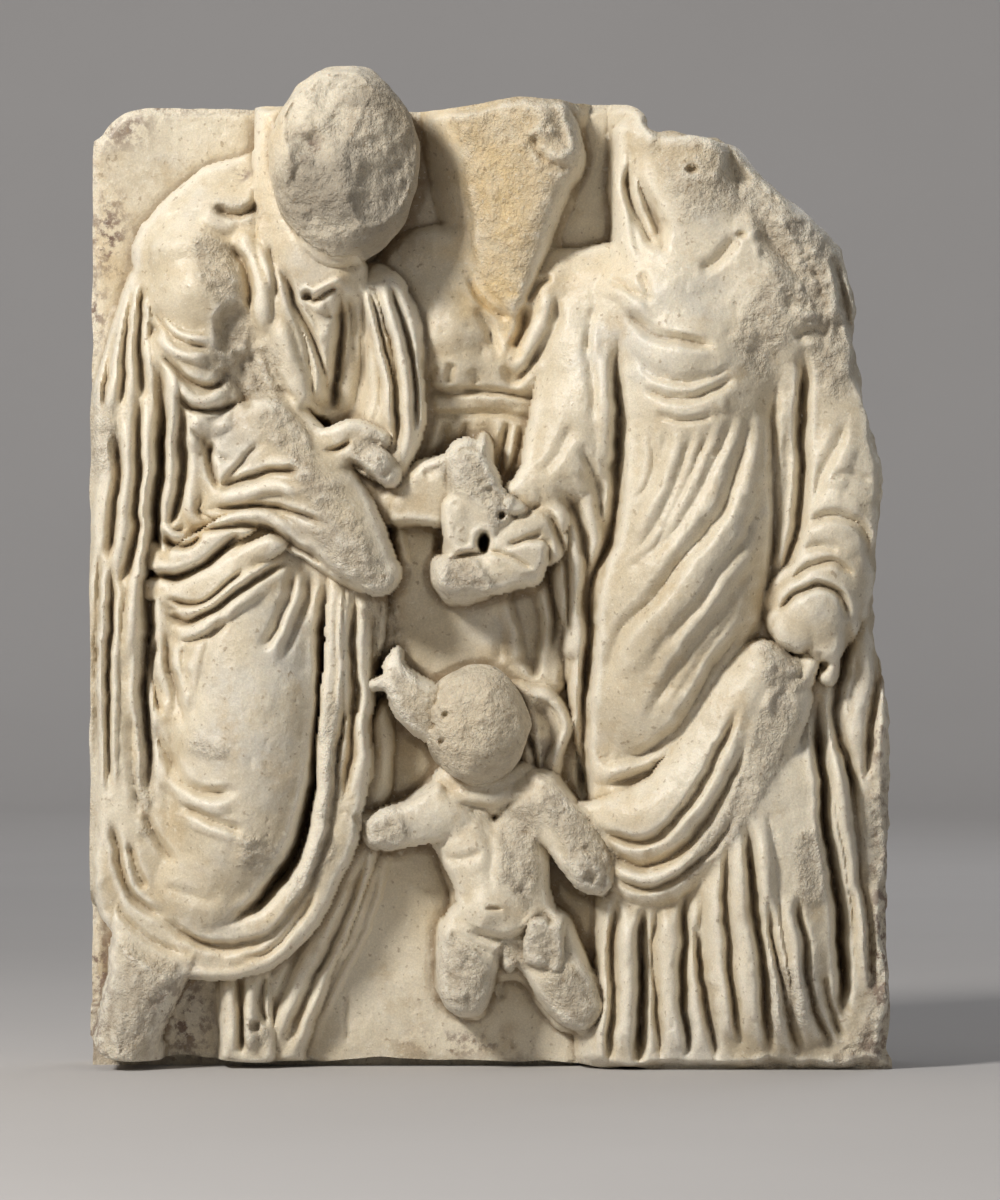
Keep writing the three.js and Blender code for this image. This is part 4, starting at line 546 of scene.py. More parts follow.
def woman_swag(s):
    s.ridge([54,206, 58,190, 68,180, 84,182, 100,186, 120,200], 7, 4)
    s.channel([66,174, 80,175, 98,181, 120,193, 138,214], 6, 7)
    s.limb([58,152,24,10, 74,150,28,18, 94,152,32,22, 112,162,34,23, 130,184,34,24, 148,212,36,23,
        164,240,38,20], 10)
    s.limb([64,130,22,10, 80,122,26,15, 98,118,28,18, 116,128,30,19, 134,148,32,19, 154,178,34,19,
        176,218,38,17, 184,238,38,12], 10)
    s.limb([72,116,18,7, 84,107,22,9, 98,106,24,10, 116,116,26,11, 136,134,28,11, 158,160,30,11,
        178,194,34,10], 8)
    s.channel([62,150, 74,141, 90,139, 106,147, 122,166, 138,194, 150,222], 5, 7)
    s.ridge([62,143, 74,134, 90,132, 106,138, 122,154, 138,180], 5, 3)
    s.channel([66,136, 78,127, 92,124, 108,130, 124,144, 142,172, 156,204], 5, 7)
    s.ridge([72,126, 84,118, 98,117, 112,123, 128,138], 4, 2.5)
    s.channel([72,121, 84,113, 98,111, 114,118, 134,136, 150,158], 4, 5)
    s.fracture([118,112, 132,124, 158,152, 184,198, 190,222, 174,238, 160,222, 146,186, 126,150, 112,130],
        0, 1.8, 10)


def woman_skirt(s):
    s.channel([92,102, 92,70, 91,30, 89,2], 5, 18)
    s.ridge([84,102, 83,70, 82,30, 80,2], 6, 7)
    s.channel([76,108, 74,70, 73,30, 72,2], 4, 9)
    s.ridge([69,104, 68,70, 67,30, 67,2], 4, 4)
    s.channel([101,102, 98,70, 100,35, 102,4], 4, 6)
    s.ridge([109,106, 107,70, 109,35, 111,4], 6, 6)
    s.channel([118,110, 116,64, 117,35, 119,4], 4, 11)
    s.ridge([124,112, 122,70, 125,35, 128,4], 4, 4)
    s.channel([122,92, 127,62, 132,30, 137,2], 4, 8)
    s.ridge([132,122, 135,80, 140,45, 145,6], 6, 6)
    s.channel([142,142, 142,92, 147,42, 152,12], 4, 8)
    s.ridge([149,148, 150,100, 156,50, 161,8], 6, 5)
    s.channel([153,154, 158,108, 164,62, 169,6], 5, 14)
    s.ridge([160,164, 166,112, 173,62, 178,6], 6, 6)
    s.channel([166,108, 173,62, 179,36, 187,6], 5, 10)
    s.ridge([178,112, 184,66, 190,36, 197,10], 6, 5)
    s.channel([185,108, 191,54, 198,32, 207,12], 4, 8)
    s.channel([200,62, 205,40, 213,18], 4, 5)
    s.channel([197,230, 200,182, 202,150, 206,125, 210,100, 213,60, 214,26], 6, 24)
    s.ridge([206,228, 211,182, 216,150, 221,118, 226,80, 228,40], 6, 7)
    s.channel([214,200, 219,160, 223,124, 229,84, 232,40], 4, 8)
    s.fracture([224,160, 250,168, 250,-6, 160,-6, 160,10, 206,14, 226,40, 230,100], 0, 2.0, 8)
    s.fracture([180,138, 204,150, 206,104, 186,98], 0, 1.4, 8)
    s.fracture([160,60, 190,70, 200,30, 170,20], 0, 1.0, 8)


def woman_left_arm(s):
    s.channel([214,394, 206,374, 197,355, 189,330], 6, 3)
    s.ridge([216,380, 210,360, 202,344], 7, 2)
    s.channel([204,357, 216,359, 230,357], 4, 1.6)
    s.ridge([184,338, 200,343, 214,343, 228,337], 6, 2)
    s.channel([187,329, 200,334, 213,333, 224,326, 231,300], 5, 4)
    s.ridge([184,318, 198,325, 212,323, 224,310], 7, 2.5)
    s.channel([182,312, 196,316, 210,313], 4, 1.6)
    s.limb([172,284,36,8, 182,294,40,10, 198,301,42,10, 212,294,40,9, 222,278,34,8], 5)
    s.channel([170,276, 180,285, 196,292, 209,286, 216,270], 4, 7)
    s.channel([176,292, 190,303, 206,306, 220,296], 4, 3.5)
    s.limb([186,266,44,15, 194,274,46,17, 202,260,44,14], 8)
    s.channel([190,258, 188,246, 186,234], 4, 3)
    s.channel([197,254, 197,244, 195,234], 4, 3)
    s.limb([205,252,42,6, 204,238,40,6], 4)
    s.limb([192,246,42,6, 190,236,40,6], 4)
    s.drill(200, 244, 2.5, 3.5, 8)
    s.fracture([160,262, 184,258, 192,238, 184,224, 168,228, 158,242], 0, 1.8, 7)
    s.channel([214,274, 214,250, 209,225, 211,200, 217,178, 224,160], 6, 14)
    s.ridge([222,276, 227,245, 222,212, 222,180], 6, 5)
    s.channel([230,262, 234,235, 230,205, 226,172], 4, 7)
    s.ridge([236,290, 240,250, 238,210, 234,175], 5, 4)
    s.channel([230,392, 234,362, 232,330], 4, 3)


def clasped_hands(s):
    s.limb([-62,344,22,14, -44,348,28,19, -26,350,34,22, -14,352,38,21], 6)
    s.block([-58,329, -58,346, -44,362, -34,369, -18,372, -18,332, -30,330], 46, 14, 0.2, 0.1)
    s.block([-25,368, -12,377, -3,385, 3,378, 3,364, 6,352, 14,346, 22,338, 16,328, 8,318, -2,308,
        -14,305, -27,304, -29,322, -26,340], 62, 11, 0.1)
    s.limb([-14,368,44,13, -8,350,50,14, 2,338,50,13], 6)
    s.fracture([-27,369, -12,378, -3,386, 4,378, 4,362, 8,350, 0,342, -14,346, -26,352], 0, 2.6, 4)
    s.fracture([-2,350, 8,352, 14,344, 10,330, 0,330], 0, 1.6, 3)
    s.limb([-20,338,50,10, -20,324,52,9], 5)
    s.limb([34,332,42,13, 22,326,48,13, 10,322,50,12], 6)
    s.limb([33,318,40,14, 22,313,48,14, 8,314,50,11], 6)
    s.block([-32,311, -36,298, -33,288, -24,280, -8,282, 6,288, 22,291, 32,296, 36,308, 32,320, 16,317,
        2,312, -14,311], 60, 10, 0.04, 0.3)
    s.limb([-22,298,48,12, 0,300,50,13, 22,304,48,13], 6)
    s.fracture([-32,312, -38,298, -34,286, -22,278, -4,281, 8,287, -4,302, -14,310], 0, 2.4, 4)
    s.channel([10,318, 20,320, 32,326], 3, 3)
    s.channel([-8,313, 6,312, 16,308, 28,300], 3, 2.5)
    s.channel([8,336, 18,336, 30,342], 3, 3)
    s.channel([-30,332, -31,320, -33,312], 4, 5)
    s.channel([-26,309, -14,312, -4,313], 3, 4)
    s.drill(-4, 319, 3.2, 5.5, 50)
    s.drill(7, 335, 2.2, 2.2, 10)
    s.channel([-40,358, -28,364], 5, 2)
    s.sink([10,288, 28,291, 34,276, 32,240, 22,240], 2, 6)


def woman_right_arm(s):
    s.channel([77,448, 75,420, 77,390, 76,350, 71,318, 62,296, 60,250, 57,212], 6, 15)
    s.channel([60,452, 58,430, 61,408, 60,386], 5, 2)
    s.ridge([69,440, 68,414, 69,384, 68,352], 6, 3)
    s.channel([52,378, 62,360, 67,338, 68,316], 5, 4)
    s.ridge([44,366, 56,350, 62,328, 63,302, 58,270], 5, 3.5)
    s.channel([36,352, 48,342, 56,322, 58,296, 55,266], 5, 7)
    s.ridge([32,346, 42,336, 50,316, 53,292, 51,262], 5, 3)
    s.channel([30,340, 38,330, 45,312, 48,290, 47,258], 4, 6)
    s.ridge([34,326, 40,310, 43,288, 43,256], 4, 3)
    s.channel([34,318, 37,304, 39,284, 38,252], 4, 6)
    s.ridge([31,304, 34,280, 34,246], 4, 3)
    s.channel([60,262, 58,240, 57,206, 58,160], 5, 14)
    s.channel([50,390, 40,372, 28,358], 6, 2)


def child_cloak(s):
    s.block([12,232, 28,232, 42,224, 51,208, 46,192, 42,174, 26,172, 14,190], 20, 8, -0.05)
    s.ridge([18,230, 32,227, 43,218, 48,206, 42,192, 38,176], 5, 6)
    s.channel([26,222, 34,212, 37,200, 32,184, 30,174], 6, 5)
    s.ridge([20,222, 26,212, 27,196], 4, 4)
    s.channel([23,204, 26,190, 27,178], 3, 8)
    s.fracture([14,226, 28,224, 30,196, 20,190], 0, 1.8, 4)


def child_strut(s):
    s.limb([-57,252,34,4, -58,242,34,8, -52,230,34,13, -42,220,32,17, -30,212,28,18], 4)
    s.limb([-70,233,34,4, -60,234,34,7, -52,228,32,10], 3)
    s.fracture([-72,236, -60,242, -57,256, -52,250, -44,236, -30,228, -30,200, -46,206, -62,224], 0, 1.6,
        3)


def child_body(s):
    s.block([-42,168, -32,136, -31,122, -26,106, -28,88, -34,70, -30,46, -18,30, -4,32, 2,48, 12,52,
        22,48, 30,34, 44,20, 60,22, 68,42, 60,66, 48,92, 34,102, 32,120, 34,146, 40,168, 20,182, -24,180],
        18, 10)
    s.limb([-20,172,16,16, 0,170,18,17, 16,172,16,15], 8)
    s.limb([-22,150,16,20, -12,136,20,21, -2,116,22,22, 2,98,24,22], 12)
    s.limb([24,156,16,18, 18,134,20,19, 16,112,22,20, 20,92,22,20], 12)
    s.limb([0,94,26,21, 6,88,24,18], 8)
    s.block([-82,154, -64,157, -42,170, -28,172, -22,150, -30,138, -46,136, -60,131, -76,135], 38, 11)
    s.limb([-26,154,24,16, -44,149,28,15, -62,145,30,13], 8)
    s.block([22,178, 36,180, 46,172, 58,158, 68,146, 74,128, 72,108, 60,105, 48,116, 44,132, 32,148], 40,
        11)
    s.limb([28,162,24,17, 42,148,30,16, 56,128,36,15, 62,118,36,13], 8)
    s.block([-30,92, -34,66, -32,44, -20,32, -6,34, 2,48, 5,66, 4,80], 36, 12, 0, 0.1)
    s.limb([-10,84,20,20, -14,62,26,18, -16,48,28,15], 8)
    s.block([18,84, 20,62, 28,42, 42,26, 60,20, 68,38, 62,62, 48,90, 34,98], 34, 12, 0, 0.1)
    s.limb([28,78,20,20, 42,56,26,18, 52,38,26,15], 8)
    s.limb([48,36,8,12, 62,24,6,12], 5)


def child_detail(s):
    s.ridge([-24,170, -10,164, 6,165, 18,172], 5, 2)
    s.channel([-22,164, -8,158, 8,159, 20,166], 4, 2)
    s.channel([-31,132, -24,127, -14,128, -4,132], 5, 2)
    s.channel([-14,84, 2,79, 18,82, 30,88], 5, 3)
    s.channel([-4,156, -1,134, 1,112], 6, 1.5)
    s.channel([-27,110, -18,105, -14,98], 5, 1.5)
    s.channel([26,122, 20,112, 16,104], 5, 1.2)
    s.drill(2, 97, 4, 1.6, 3)
    s.channel([-28,84, -14,78, 2,68], 4, 2)
    s.channel([20,76, 28,68, 40,64], 4, 2)
    s.fracture([2,158, 24,164, 32,150, 28,128, 26,102, 12,100, 2,126], 0, 1.6, 7)
    s.fracture([28,174, 46,172, 60,154, 70,138, 74,108, 58,104, 48,118, 42,136, 34,150], 0, 2.0, 6)
    s.fracture([-60,160, -84,158, -80,134, -58,131, -52,144], 0, 2.4, 4)
    s.fracture([50,132, 74,132, 76,104, 56,102], 0, 2.4, 4)
    s.fracture([-34,84, -24,86, -8,72, 4,60, 2,40, -10,30, -22,28, -34,42], 0, 2.2, 5)
    s.fracture([30,60, 52,64, 66,56, 70,34, 60,20, 44,20, 32,36], 0, 1.8, 7)
    s.block([20,66, 22,90, 34,92, 44,90, 44,68, 40,60, 32,62], 46, 4)
    s.fracture([18,64, 20,92, 34,94, 46,92, 46,66, 38,58], 0, 2.4, 3)
    s.drill(35, 90, 2.5, 2, 6)
    s.block([6,76, 6,62, 12,58, 17,66, 17,77], 34, 4)
    s.fracture([2,78, 4,58, 14,55, 20,64, 19,79], 0, 1.8, 3)
    s.channel([-2,60, 4,50, 8,40], 5, 3)


def man_head_mass(s):
    s.limb([-122,592,8,20, -124,560,18,20, -121,526,26,22, -110,496,32,24, -98,480,32,24], 10)
    s.block([-124,560, -120,586, -104,600, -84,604, -62,598, -50,576, -50,540, -58,512, -74,490, -96,484,
        -114,496, -123,528], 66, 26, 0, 0.04)


def child_head_mass(s):
    s.block([-38,212, -34,232, -18,242, 2,240, 16,226, 18,204, 10,186, -6,176, -24,180, -36,196], 42, 14)


FIGURES = [
    middle_figure, man_back_drapery, man_leg, man_body, man_neck,
    man_head_mass, man_chest, man_bundle, man_side, man_waist,
    man_thigh, man_hem, man_arm, woman_body, woman_head,
    woman_neckline, woman_torso, woman_swag, woman_skirt, woman_left_arm,
    clasped_hands, woman_right_arm, child_cloak, child_head_mass, child_strut,
    child_body, child_detail,
]

def weather(s, outline):
    """Age the whole face: high edges worn round, waviness, small chips, and the worn outer arris."""
    s.depth += 0.5 * np.clip(s.depth - soften(s.depth, max(1, round(3 / CELL))), -2.4, 2.4)
    reach = max(1, round(1.2 / CELL))
    calm = soften(s.depth, reach)
    proud = np.clip((s.depth - calm) / 2, 0, 1)
    s.depth = s.depth * (1 - 0.4 * proud) + calm * 0.4 * proud
    s.depth += 0.55 * noise(s.x, 0, s.z, 16, 41) + 0.35 * noise(s.x, 0, s.z, 6, 42)
    s.depth += 0.18 * noise(s.x, 0, s.z, 2.6, 43)
    pits = np.clip(noise(s.x, 0, s.z, 4.2, 44) - 0.7, 0, 1) * (noise(s.x, 0, s.z, 45, 45) > 0.1)
    s.depth -= 3.5 * pits
    w, away, _, _, inside = s.near(outline, 4, True)
    worn = np.ones_like(s.depth)
    wobble = 1 + 0.5 * noise(s.x[w], 0, s.z[w], 21, 46)
    worn[w] = np.where(inside, 1 - ease(away / (7 * wobble)), 1)
    s.depth -= worn * (3.5 + 0.22 * np.clip(s.depth, 0, None))
    s.broken = np.maximum(s.broken, 0.55 * worn * (noise(s.x, 0, s.z, 18, 47) > -0.1))
    s.depth = np.minimum(s.depth, RELIEF - 1)


# ------------------------------------------------------------------ hand tools

def take(piece=None):
    """Only this piece selected, or nothing, so that the next operator acts on nothing else."""
    bpy.ops.object.select_all(action="DESELECT")
    if piece:
        piece.select_set(True)
        bpy.context.view_layer.objects.active = piece


def added(name):
    """The primitive that was just added, under its own name."""
    piece = bpy.context.object
    piece.name = name
    piece.data.name = name
    return piece


def corners(piece):
    """The piece's points, one to a row."""
    co = np.empty(len(piece.data.vertices) * 3)
    piece.data.vertices.foreach_get("co", co)
    return co.reshape(-1, 3)


def reshape(piece, co):
    """Every point of the piece moved to its row's place."""
    piece.data.vertices.foreach_set("co", np.ascontiguousarray(co, dtype=float).ravel())
    piece.data.update()


def combine(stone, other, how):
    """Cut or join two closed stones, and keep the result in the first."""
    take(stone)
    step = stone.modifiers.new(how, "BOOLEAN")
    step.operation = how
    step.solver = "MANIFOLD"
    step.object = other
    bpy.ops.object.modifier_apply(modifier=step.name)
    bpy.data.objects.remove(other, do_unlink=True)


def placed(x, y, z):
    """Millimetres to a column of points in metres."""
    return np.column_stack([np.ravel(x), np.ravel(y), np.ravel(z)]) * MM


def closed_block(name, xs, zs, y, far):
    """A grid worked to the depths y, its rim drawn to the plane y = far and closed there."""
    take()
    bpy.ops.mesh.primitive_grid_add(x_subdivisions=len(xs) - 1, y_subdivisions=len(zs) - 1, size=1)
    piece = added(name)
    flat = corners(piece)
    i = np.rint((flat[:, 0] + 0.5) * (len(xs) - 1)).astype(int)
    j = np.rint((flat[:, 1] + 0.5) * (len(zs) - 1)).astype(int)
    reshape(piece, placed(xs[i], y[j, i], zs[j]))
    count = len(flat)
    bpy.ops.object.mode_set(mode="EDIT")
    bpy.ops.mesh.select_mode(type="EDGE")
    bpy.ops.mesh.select_all(action="DESELECT")
    bpy.ops.mesh.select_non_manifold()
    bpy.ops.mesh.extrude_edges_move()
    bpy.ops.object.mode_set(mode="OBJECT")
    co = corners(piece)
    co[count:, 1] = far * MM
    reshape(piece, co)
    bpy.ops.object.mode_set(mode="EDIT")
    bpy.ops.mesh.select_all(action="DESELECT")
    bpy.ops.mesh.select_non_manifold()
    bpy.ops.mesh.edge_face_add()
    bpy.ops.mesh.select_all(action="SELECT")
    bpy.ops.mesh.normals_make_consistent(inside=False)
    bpy.ops.object.mode_set(mode="OBJECT")
    return piece


def upright_prism(name, outline, sides, near, far, layers, roughen):
    """An outline drawn back in layers, its sides roughened as hewn and broken stone."""
    line = curve(np.reshape(outline, (-1, 2)), True, 12)
    line = np.vstack([line, line[:1]])
    steps = np.hypot(*np.diff(line, axis=0).T)
    run = np.concatenate([[0], np.cumsum(steps)])
    share = np.linspace(0, run[-1], sides, endpoint=False)
    x, z = np.interp(share, run, line[:, 0]), np.interp(share, run, line[:, 1])
    take()
    bpy.ops.mesh.primitive_circle_add(vertices=sides, radius=1, fill_type="NGON")
    piece = added(name)
    reshape(piece, placed(x, np.full(sides, near), z))
    bpy.ops.object.mode_set(mode="EDIT")
    bpy.ops.mesh.select_all(action="SELECT")
    depth = (far - near) / layers * MM
    for _ in range(layers):
        bpy.ops.mesh.extrude_region_move(TRANSFORM_OT_translate={"value": (0, depth, 0)})
    bpy.ops.mesh.select_all(action="SELECT")
    bpy.ops.mesh.normals_make_consistent(inside=False)
    bpy.ops.object.mode_set(mode="OBJECT")
    reshape(piece, roughen(corners(piece) / MM) * MM)
    return piece


def hewn_sides(p):
    """The sides of the slab: dressed on the left and top, split and crumbled on the right."""
    x, y, z = p.T
    out = np.column_stack([x, z - 300]) / np.array([HALF_WIDTH, 300])
    out /= np.linalg.norm(out, axis=1, keepdims=True)
    split = ease((x - 60) / 80) * ease((z - 10) / 60)
    chips = 0.7 * noise(x, y, z, 22, 51) + 0.5 * noise(x, y, z, 8, 52) - 0.6
    broken = 3.2 * (crumble(x, y, z, 20, 53) - 0.9)
    push = chips * (1 - split) + broken * split
    push *= ease(z / 9)
    q = p.copy()
    q[:, 0] += out[:, 0] * push
    q[:, 2] += out[:, 1] * push
    q[:, 0] = np.clip(q[:, 0], -HALF_WIDTH, HALF_WIDTH)
    q[:, 2] = np.where(z < 0.5, 0, np.maximum(q[:, 2], 0))
    return q


def battered_head(name, middle, depth, radii, shape, detail):
    """An egg of stone, beaten about and broken off flat in front."""
    take()
    bpy.ops.mesh.primitive_uv_sphere_add(segments=detail, ring_count=detail * 3 // 4, radius=1)
    piece = added(name)
    unit = corners(piece)
    p = unit * np.array(radii)
    x, d, z = shape(p[:, 0] + middle[0], -p[:, 1] + depth, p[:, 2] + middle[1], unit)
    reshape(piece, placed(x, GROUND - np.minimum(d, RELIEF - 0.5), np.minimum(z, HEIGHT - 0.5)))
    return piece


def man_head_shape(x, d, z, unit):
    """A heavy lump: hair left at one side, the whole front knocked away in big facets."""
    swell = 3.4 * noise(x, d, z, 37, 61) + 2.2 * noise(x, d, z, 19, 62) + 1.1 * noise(x, d, z, 9, 66)
    x = x + unit[:, 0] * swell
    z = z + unit[:, 2] * swell
    u, v = x - MAN_HEAD[0], z - MAN_HEAD[1]
    facets = [
        85 + 0.10 * u - 0.05 * v,
        86 - 0.62 * u - 0.10 * v,
        93 + 0.34 * u + 0.34 * v,
        88 + 0.12 * u - 0.44 * v,
    ]
    flat = np.minimum.reduce([d] + facets) + 3.2 * noise(x, 0, z, 30, 63)
    flat = np.minimum(flat, d + 2)
    broken = ease((d - flat) / 3)
    flat += broken * 3.2 * crumble(x, 0, z, 18, 64) + (1 - broken) * 1.8 * crumble(x, d, z, 15, 65)
    flat += 0.8 * crumble(x, d, z, 6, 67)
    flat -= 8 * np.exp(-((x + 107) / 8) ** 2 - ((z - 556) / 7) ** 2)
    return x, flat, z


def child_head_shape(x, d, z, unit):
    """A small lump, its front worn to rubble, a few drilled pits left in the hair."""
    swell = 2.4 * noise(x, d, z, 23, 71) + 1.5 * noise(x, d, z, 11, 72)
    x = x + unit[:, 0] * swell
    z = z + unit[:, 2] * swell
    u, v = x - CHILD_HEAD[0], z - CHILD_HEAD[1]
    facets = [
        63 + 0.05 * u,
        66 - 0.4 * u + 0.1 * v,
        68 + 0.3 * u - 0.3 * v,
    ]
    flat = np.minimum.reduce([d] + facets) + 1.6 * noise(x, 0, z, 16, 73)
    flat = np.minimum(flat, d + 1)
    broken = ease((d - flat) / 3)
    flat += broken * 1.9 * crumble(x, 0, z, 11, 74) + (1 - broken) * 1.1 * crumble(x, d, z, 9, 75)
    flat += 0.5 * crumble(x, d, z, 4, 76)
    for hx, hz in [(-29, 199), (-27, 215), (-35, 208), (-34, 223)]:
        flat -= 6 * ease(1.5 - np.hypot(x - hx, z - hz) / 2)
    return x, flat, z


# ------------------------------------------------------------------ the stone

BROKEN_EDGE = [
    -236,0, -243,24, -243,160, -243,350, -243,540, -237,566, -219,582, -185,583.5, -120,583,
    -60,582, -18,583, 12,588, 50,586, 84,585, 95,578, 98,570, 124,568, 150,559, 168,540, 198,514,
    214,494, 222,464, 223,432, 230,396, 240,360, 235,320, 234,264, 240,230, 243,190, 243,150,
    241,90, 243,50, 240,12, 232,0,
]
outline = curve(np.reshape(BROKEN_EDGE, (-1, 2)), True, 3)
outline = np.column_stack([np.clip(outline[:, 0], -HALF_WIDTH, HALF_WIDTH), np.maximum(outline[:, 1], 0)])
WORN_FOOT = [
    -262,34, -243,22, -228,7, -175,6, -120,4, -60,5.5, 0,4, 60,2, 118,-4, 118,-30, -262,-30,
]
PICKED = 1.6                                  # how deep the point tool bit into the back

face = Relief()
for carve in FIGURES:
    carve(face)
weather(face, outline)
marble = closed_block("marble_relief_stone", face.xs, face.zs, GROUND - face.depth, BACK + 8)

back_xs, back_zs = np.arange(-262, 263, 3.0), np.arange(-12, 620, 3.0)
bx, bz = np.meshgrid(back_xs, back_zs)
picked = 0.9 * noise(bx, 0, bz, 30, 91) + 0.5 * np.abs(noise(bx + 0.35 * bz, 0, bz * 0.4, 9, 92))
picked += 0.4 * noise(bx, 0, bz, 7, 93)
back = closed_block("back", back_xs, back_zs, BACK - PICKED + np.minimum(picked, PICKED), -200)
combine(marble, back, "INTERSECT")
blank = upright_prism("blank", outline, 620, -110, BACK + 12, 44, hewn_sides)
combine(marble, blank, "INTERSECT")


def foot_edge(p):
    """The worn front arris of the underside rises and falls a little."""
    x, y, z = p.T
    q = p.copy()
    q[:, 2] += np.where(z > -20, 1.6 * noise(x, y, 0, 17, 95), 0)
    return q


foot = upright_prism("foot", WORN_FOOT, 300, -120, GROUND + 16, 12, foot_edge)
combine(marble, foot, "DIFFERENCE")

detail = 128
for part in [
    battered_head("man_head", MAN_HEAD, 44, [45, 52, 61], man_head_shape, detail * 3 // 2),
    battered_head("child_head", CHILD_HEAD, 32, [31, 34, 36], child_head_shape, detail),
]:
    combine(marble, part, "UNION")

print("stone before thinning", len(marble.data.polygons))
take(marble)
bpy.ops.object.mode_set(mode="EDIT")
bpy.ops.mesh.select_all(action="SELECT")
bpy.ops.mesh.quads_convert_to_tris(quad_method="BEAUTY", ngon_method="BEAUTY")
bpy.ops.object.mode_set(mode="OBJECT")
if len(marble.data.polygons) > KEPT:
    thin = marble.modifiers.new("thin", "DECIMATE")
    thin.ratio = KEPT / len(marble.data.polygons)
    bpy.ops.object.modifier_apply(modifier=thin.name)
bpy.ops.object.shade_smooth_by_angle(angle=math.radians(55))
print("stone after thinning", len(marble.data.polygons))


# ------------------------------------------------------------------ what the surface has been through, and where shade and highlight are painted on

def sampled(grid, x, z):
    """A value of the worked face under each point, between its grid lines."""
    u = np.clip((x - face.xs[0]) / CELL, 0, len(face.xs) - 1.001)
    v = np.clip((z - face.zs[0]) / CELL, 0, len(face.zs) - 1.001)
    i, j = u.astype(int), v.astype(int)
    a, b = u - i, v - j
    low = grid[j, i] * (1 - a) + grid[j, i + 1] * a
    high = grid[j + 1, i] * (1 - a) + grid[j + 1, i + 1] * a
    return low * (1 - b) + high * b


def skyline(piece):
    """The furthest front depth over each grid point, heads included."""
    co = corners(piece) / MM
    top = face.depth.copy()
    front = co[:, 1] < GROUND + 2
    i = np.clip(np.rint((co[front, 0] - face.xs[0]) / CELL).astype(int), 0, len(face.xs) - 1)
    j = np.clip(np.rint((co[front, 2] - face.zs[0]) / CELL).astype(int), 0, len(face.zs) - 1)
    np.maximum.at(top, (j, i), GROUND - co[front, 1])
    return top


def spots(x, z, places):
    """Soft patches of across,up,half width,half height,strength, added together."""
    total = np.zeros_like(x)
    for x0, z0, half_width, half_height, strength in np.reshape(places, (-1, 5)):
        total += strength * np.exp(-((x - x0) / half_width) ** 2 - ((z - z0) / half_height) ** 2)
    return total


def mark(piece, name, values):
    """A value from 0 to 1 kept on every point, for the marble to read."""
    layer = piece.data.attributes.new(name, "FLOAT", "POINT")
    layer.data.foreach_set("value", np.clip(values, 0, 1).astype(np.float32))


HONEY = [
    8,545,34,52,0.75, 4,500,20,40,0.55, -24,575,30,22,0.45, 0,466,20,12,0.95, 14,430,9,22,0.85,
    12,455,7,16,0.9, -132,560,10,30,0.5, -150,500,24,30,0.25, 75,160,18,22,0.3, -108,470,20,18,0.35,
    120,555,34,16,0.35, -235,500,14,60,0.3, 60,190,12,20,0.45, -160,70,40,10,0.45, -120,100,20,14,0.35,
    72,480,30,12,0.35, -28,490,24,12,0.4, -8,208,34,34,0.35, -160,320,40,20,0.25, 100,130,30,14,0.3,
]
CRUST = [
    -232,505,12,26,1.0, -240,455,8,16,0.8, -238,62,8,26,0.9, -225,566,16,9,0.7, -196,583,9,5,0.9,
    -215,574,8,6,0.6, 236,80,9,70,0.9, 234,205,6,40,0.6, -20,14,34,8,0.8, -186,30,16,28,0.8,
    -242,20,16,14,0.6, 222,14,26,8,0.5, 226,470,7,40,0.5, 30,192,6,24,0.5, -150,541,5,4,1.0,
    -110,554,9,8,0.8,
]
# Grey patches: weathering, and painted shade in some recesses such as the pit between the man's arm and
# chest.
GRIME_AND_SHADE = [
    -166,432,12,20,0.5, -148,400,18,14,0.35, -110,330,22,26,0.25, -20,330,26,10,0.3, -2,206,22,26,0.15,
    218,420,14,40,0.25, -215,545,24,30,0.2, 95,556,26,12,0.15, -226,40,20,20,0.3, 205,40,26,20,0.3,
    -235,250,8,80,0.3, 10,170,20,20,0.15,
]

at_x, at_y, at_z = (corners(marble) / MM).T
depth = GROUND - at_y
top = skyline(marble)
# How far each point lies below the stone close by, and below the stone a little further off.
fine = sampled(soften(top, round(3 / CELL)), at_x, at_z) - depth
wide = sampled(soften(top, round(11 / CELL)), at_x, at_z) - depth
onto = depth > -2                             # the carved face, and not the sides or back
# hollow: how deep a point lies in a crease or recess; the marble darkens these as painted shade.
hollow = np.where(onto, 0.55 * ease(fine / 5) + 0.42 * ease((wide - 6) / 28), 0.15)
# proud: how far a point stands above the stone close by; the marble makes these paler, as wear and as
# painted highlight.
proud = np.where(onto, ease(-fine / 2.5), 0.3)

# The two heads stand out from the worked face, and are broken all over.
stands_out = depth - sampled(face.depth, at_x, at_z)
freed = stands_out > 3
broken = np.where(freed, 0.9, sampled(soften(face.broken, round(2.6 / CELL)), at_x, at_z))
broken = np.where(onto, broken, 0.35 + 0.45 * ease((at_x - 60) / 150))
proud = np.where(freed, 0.3 * proud, proud)
on_man = ease((stands_out - 3) / 16) * (at_x < -30)

# Hair is left at the upper left of the man's head; the rest of it is one rough break.
hair = ease((-(at_x + 88) / 45 + (at_z - 560) / 50 - 0.2) / 0.5) * (on_man > 0)
broken = broken * (1 - hair) + 0.3 * hair

# The painted shade of the hollows would also fall along the stone's own outer edge, where there is no
# hollow, so it is faded out there.
rim = np.ones_like(face.depth)
w, away, _, _, inside = face.near(outline, 8, True)
rim[w] = np.where(inside, ease((away - 1) / 6), 0)
hollow = 0.12 + (hollow - 0.12) * sampled(rim, at_x, at_z)
mark(marble, "hollow", hollow)
mark(marble, "proud", proud)
mark(marble, "broken", broken)
mark(marble, "honey", spots(at_x, at_z, HONEY) * onto)
mark(marble, "crust", spots(at_x, at_z, CRUST) + 0.16 * (~onto))
# Grey patches, partly weathering and partly painted shade in recesses, and the grey weathering of the
# man's broken head.
mark(marble, "grime_and_shade", spots(at_x, at_z, GRIME_AND_SHADE) * onto + on_man * (0.95 - 0.9 * hair))


# ------------------------------------------------------------------ marble

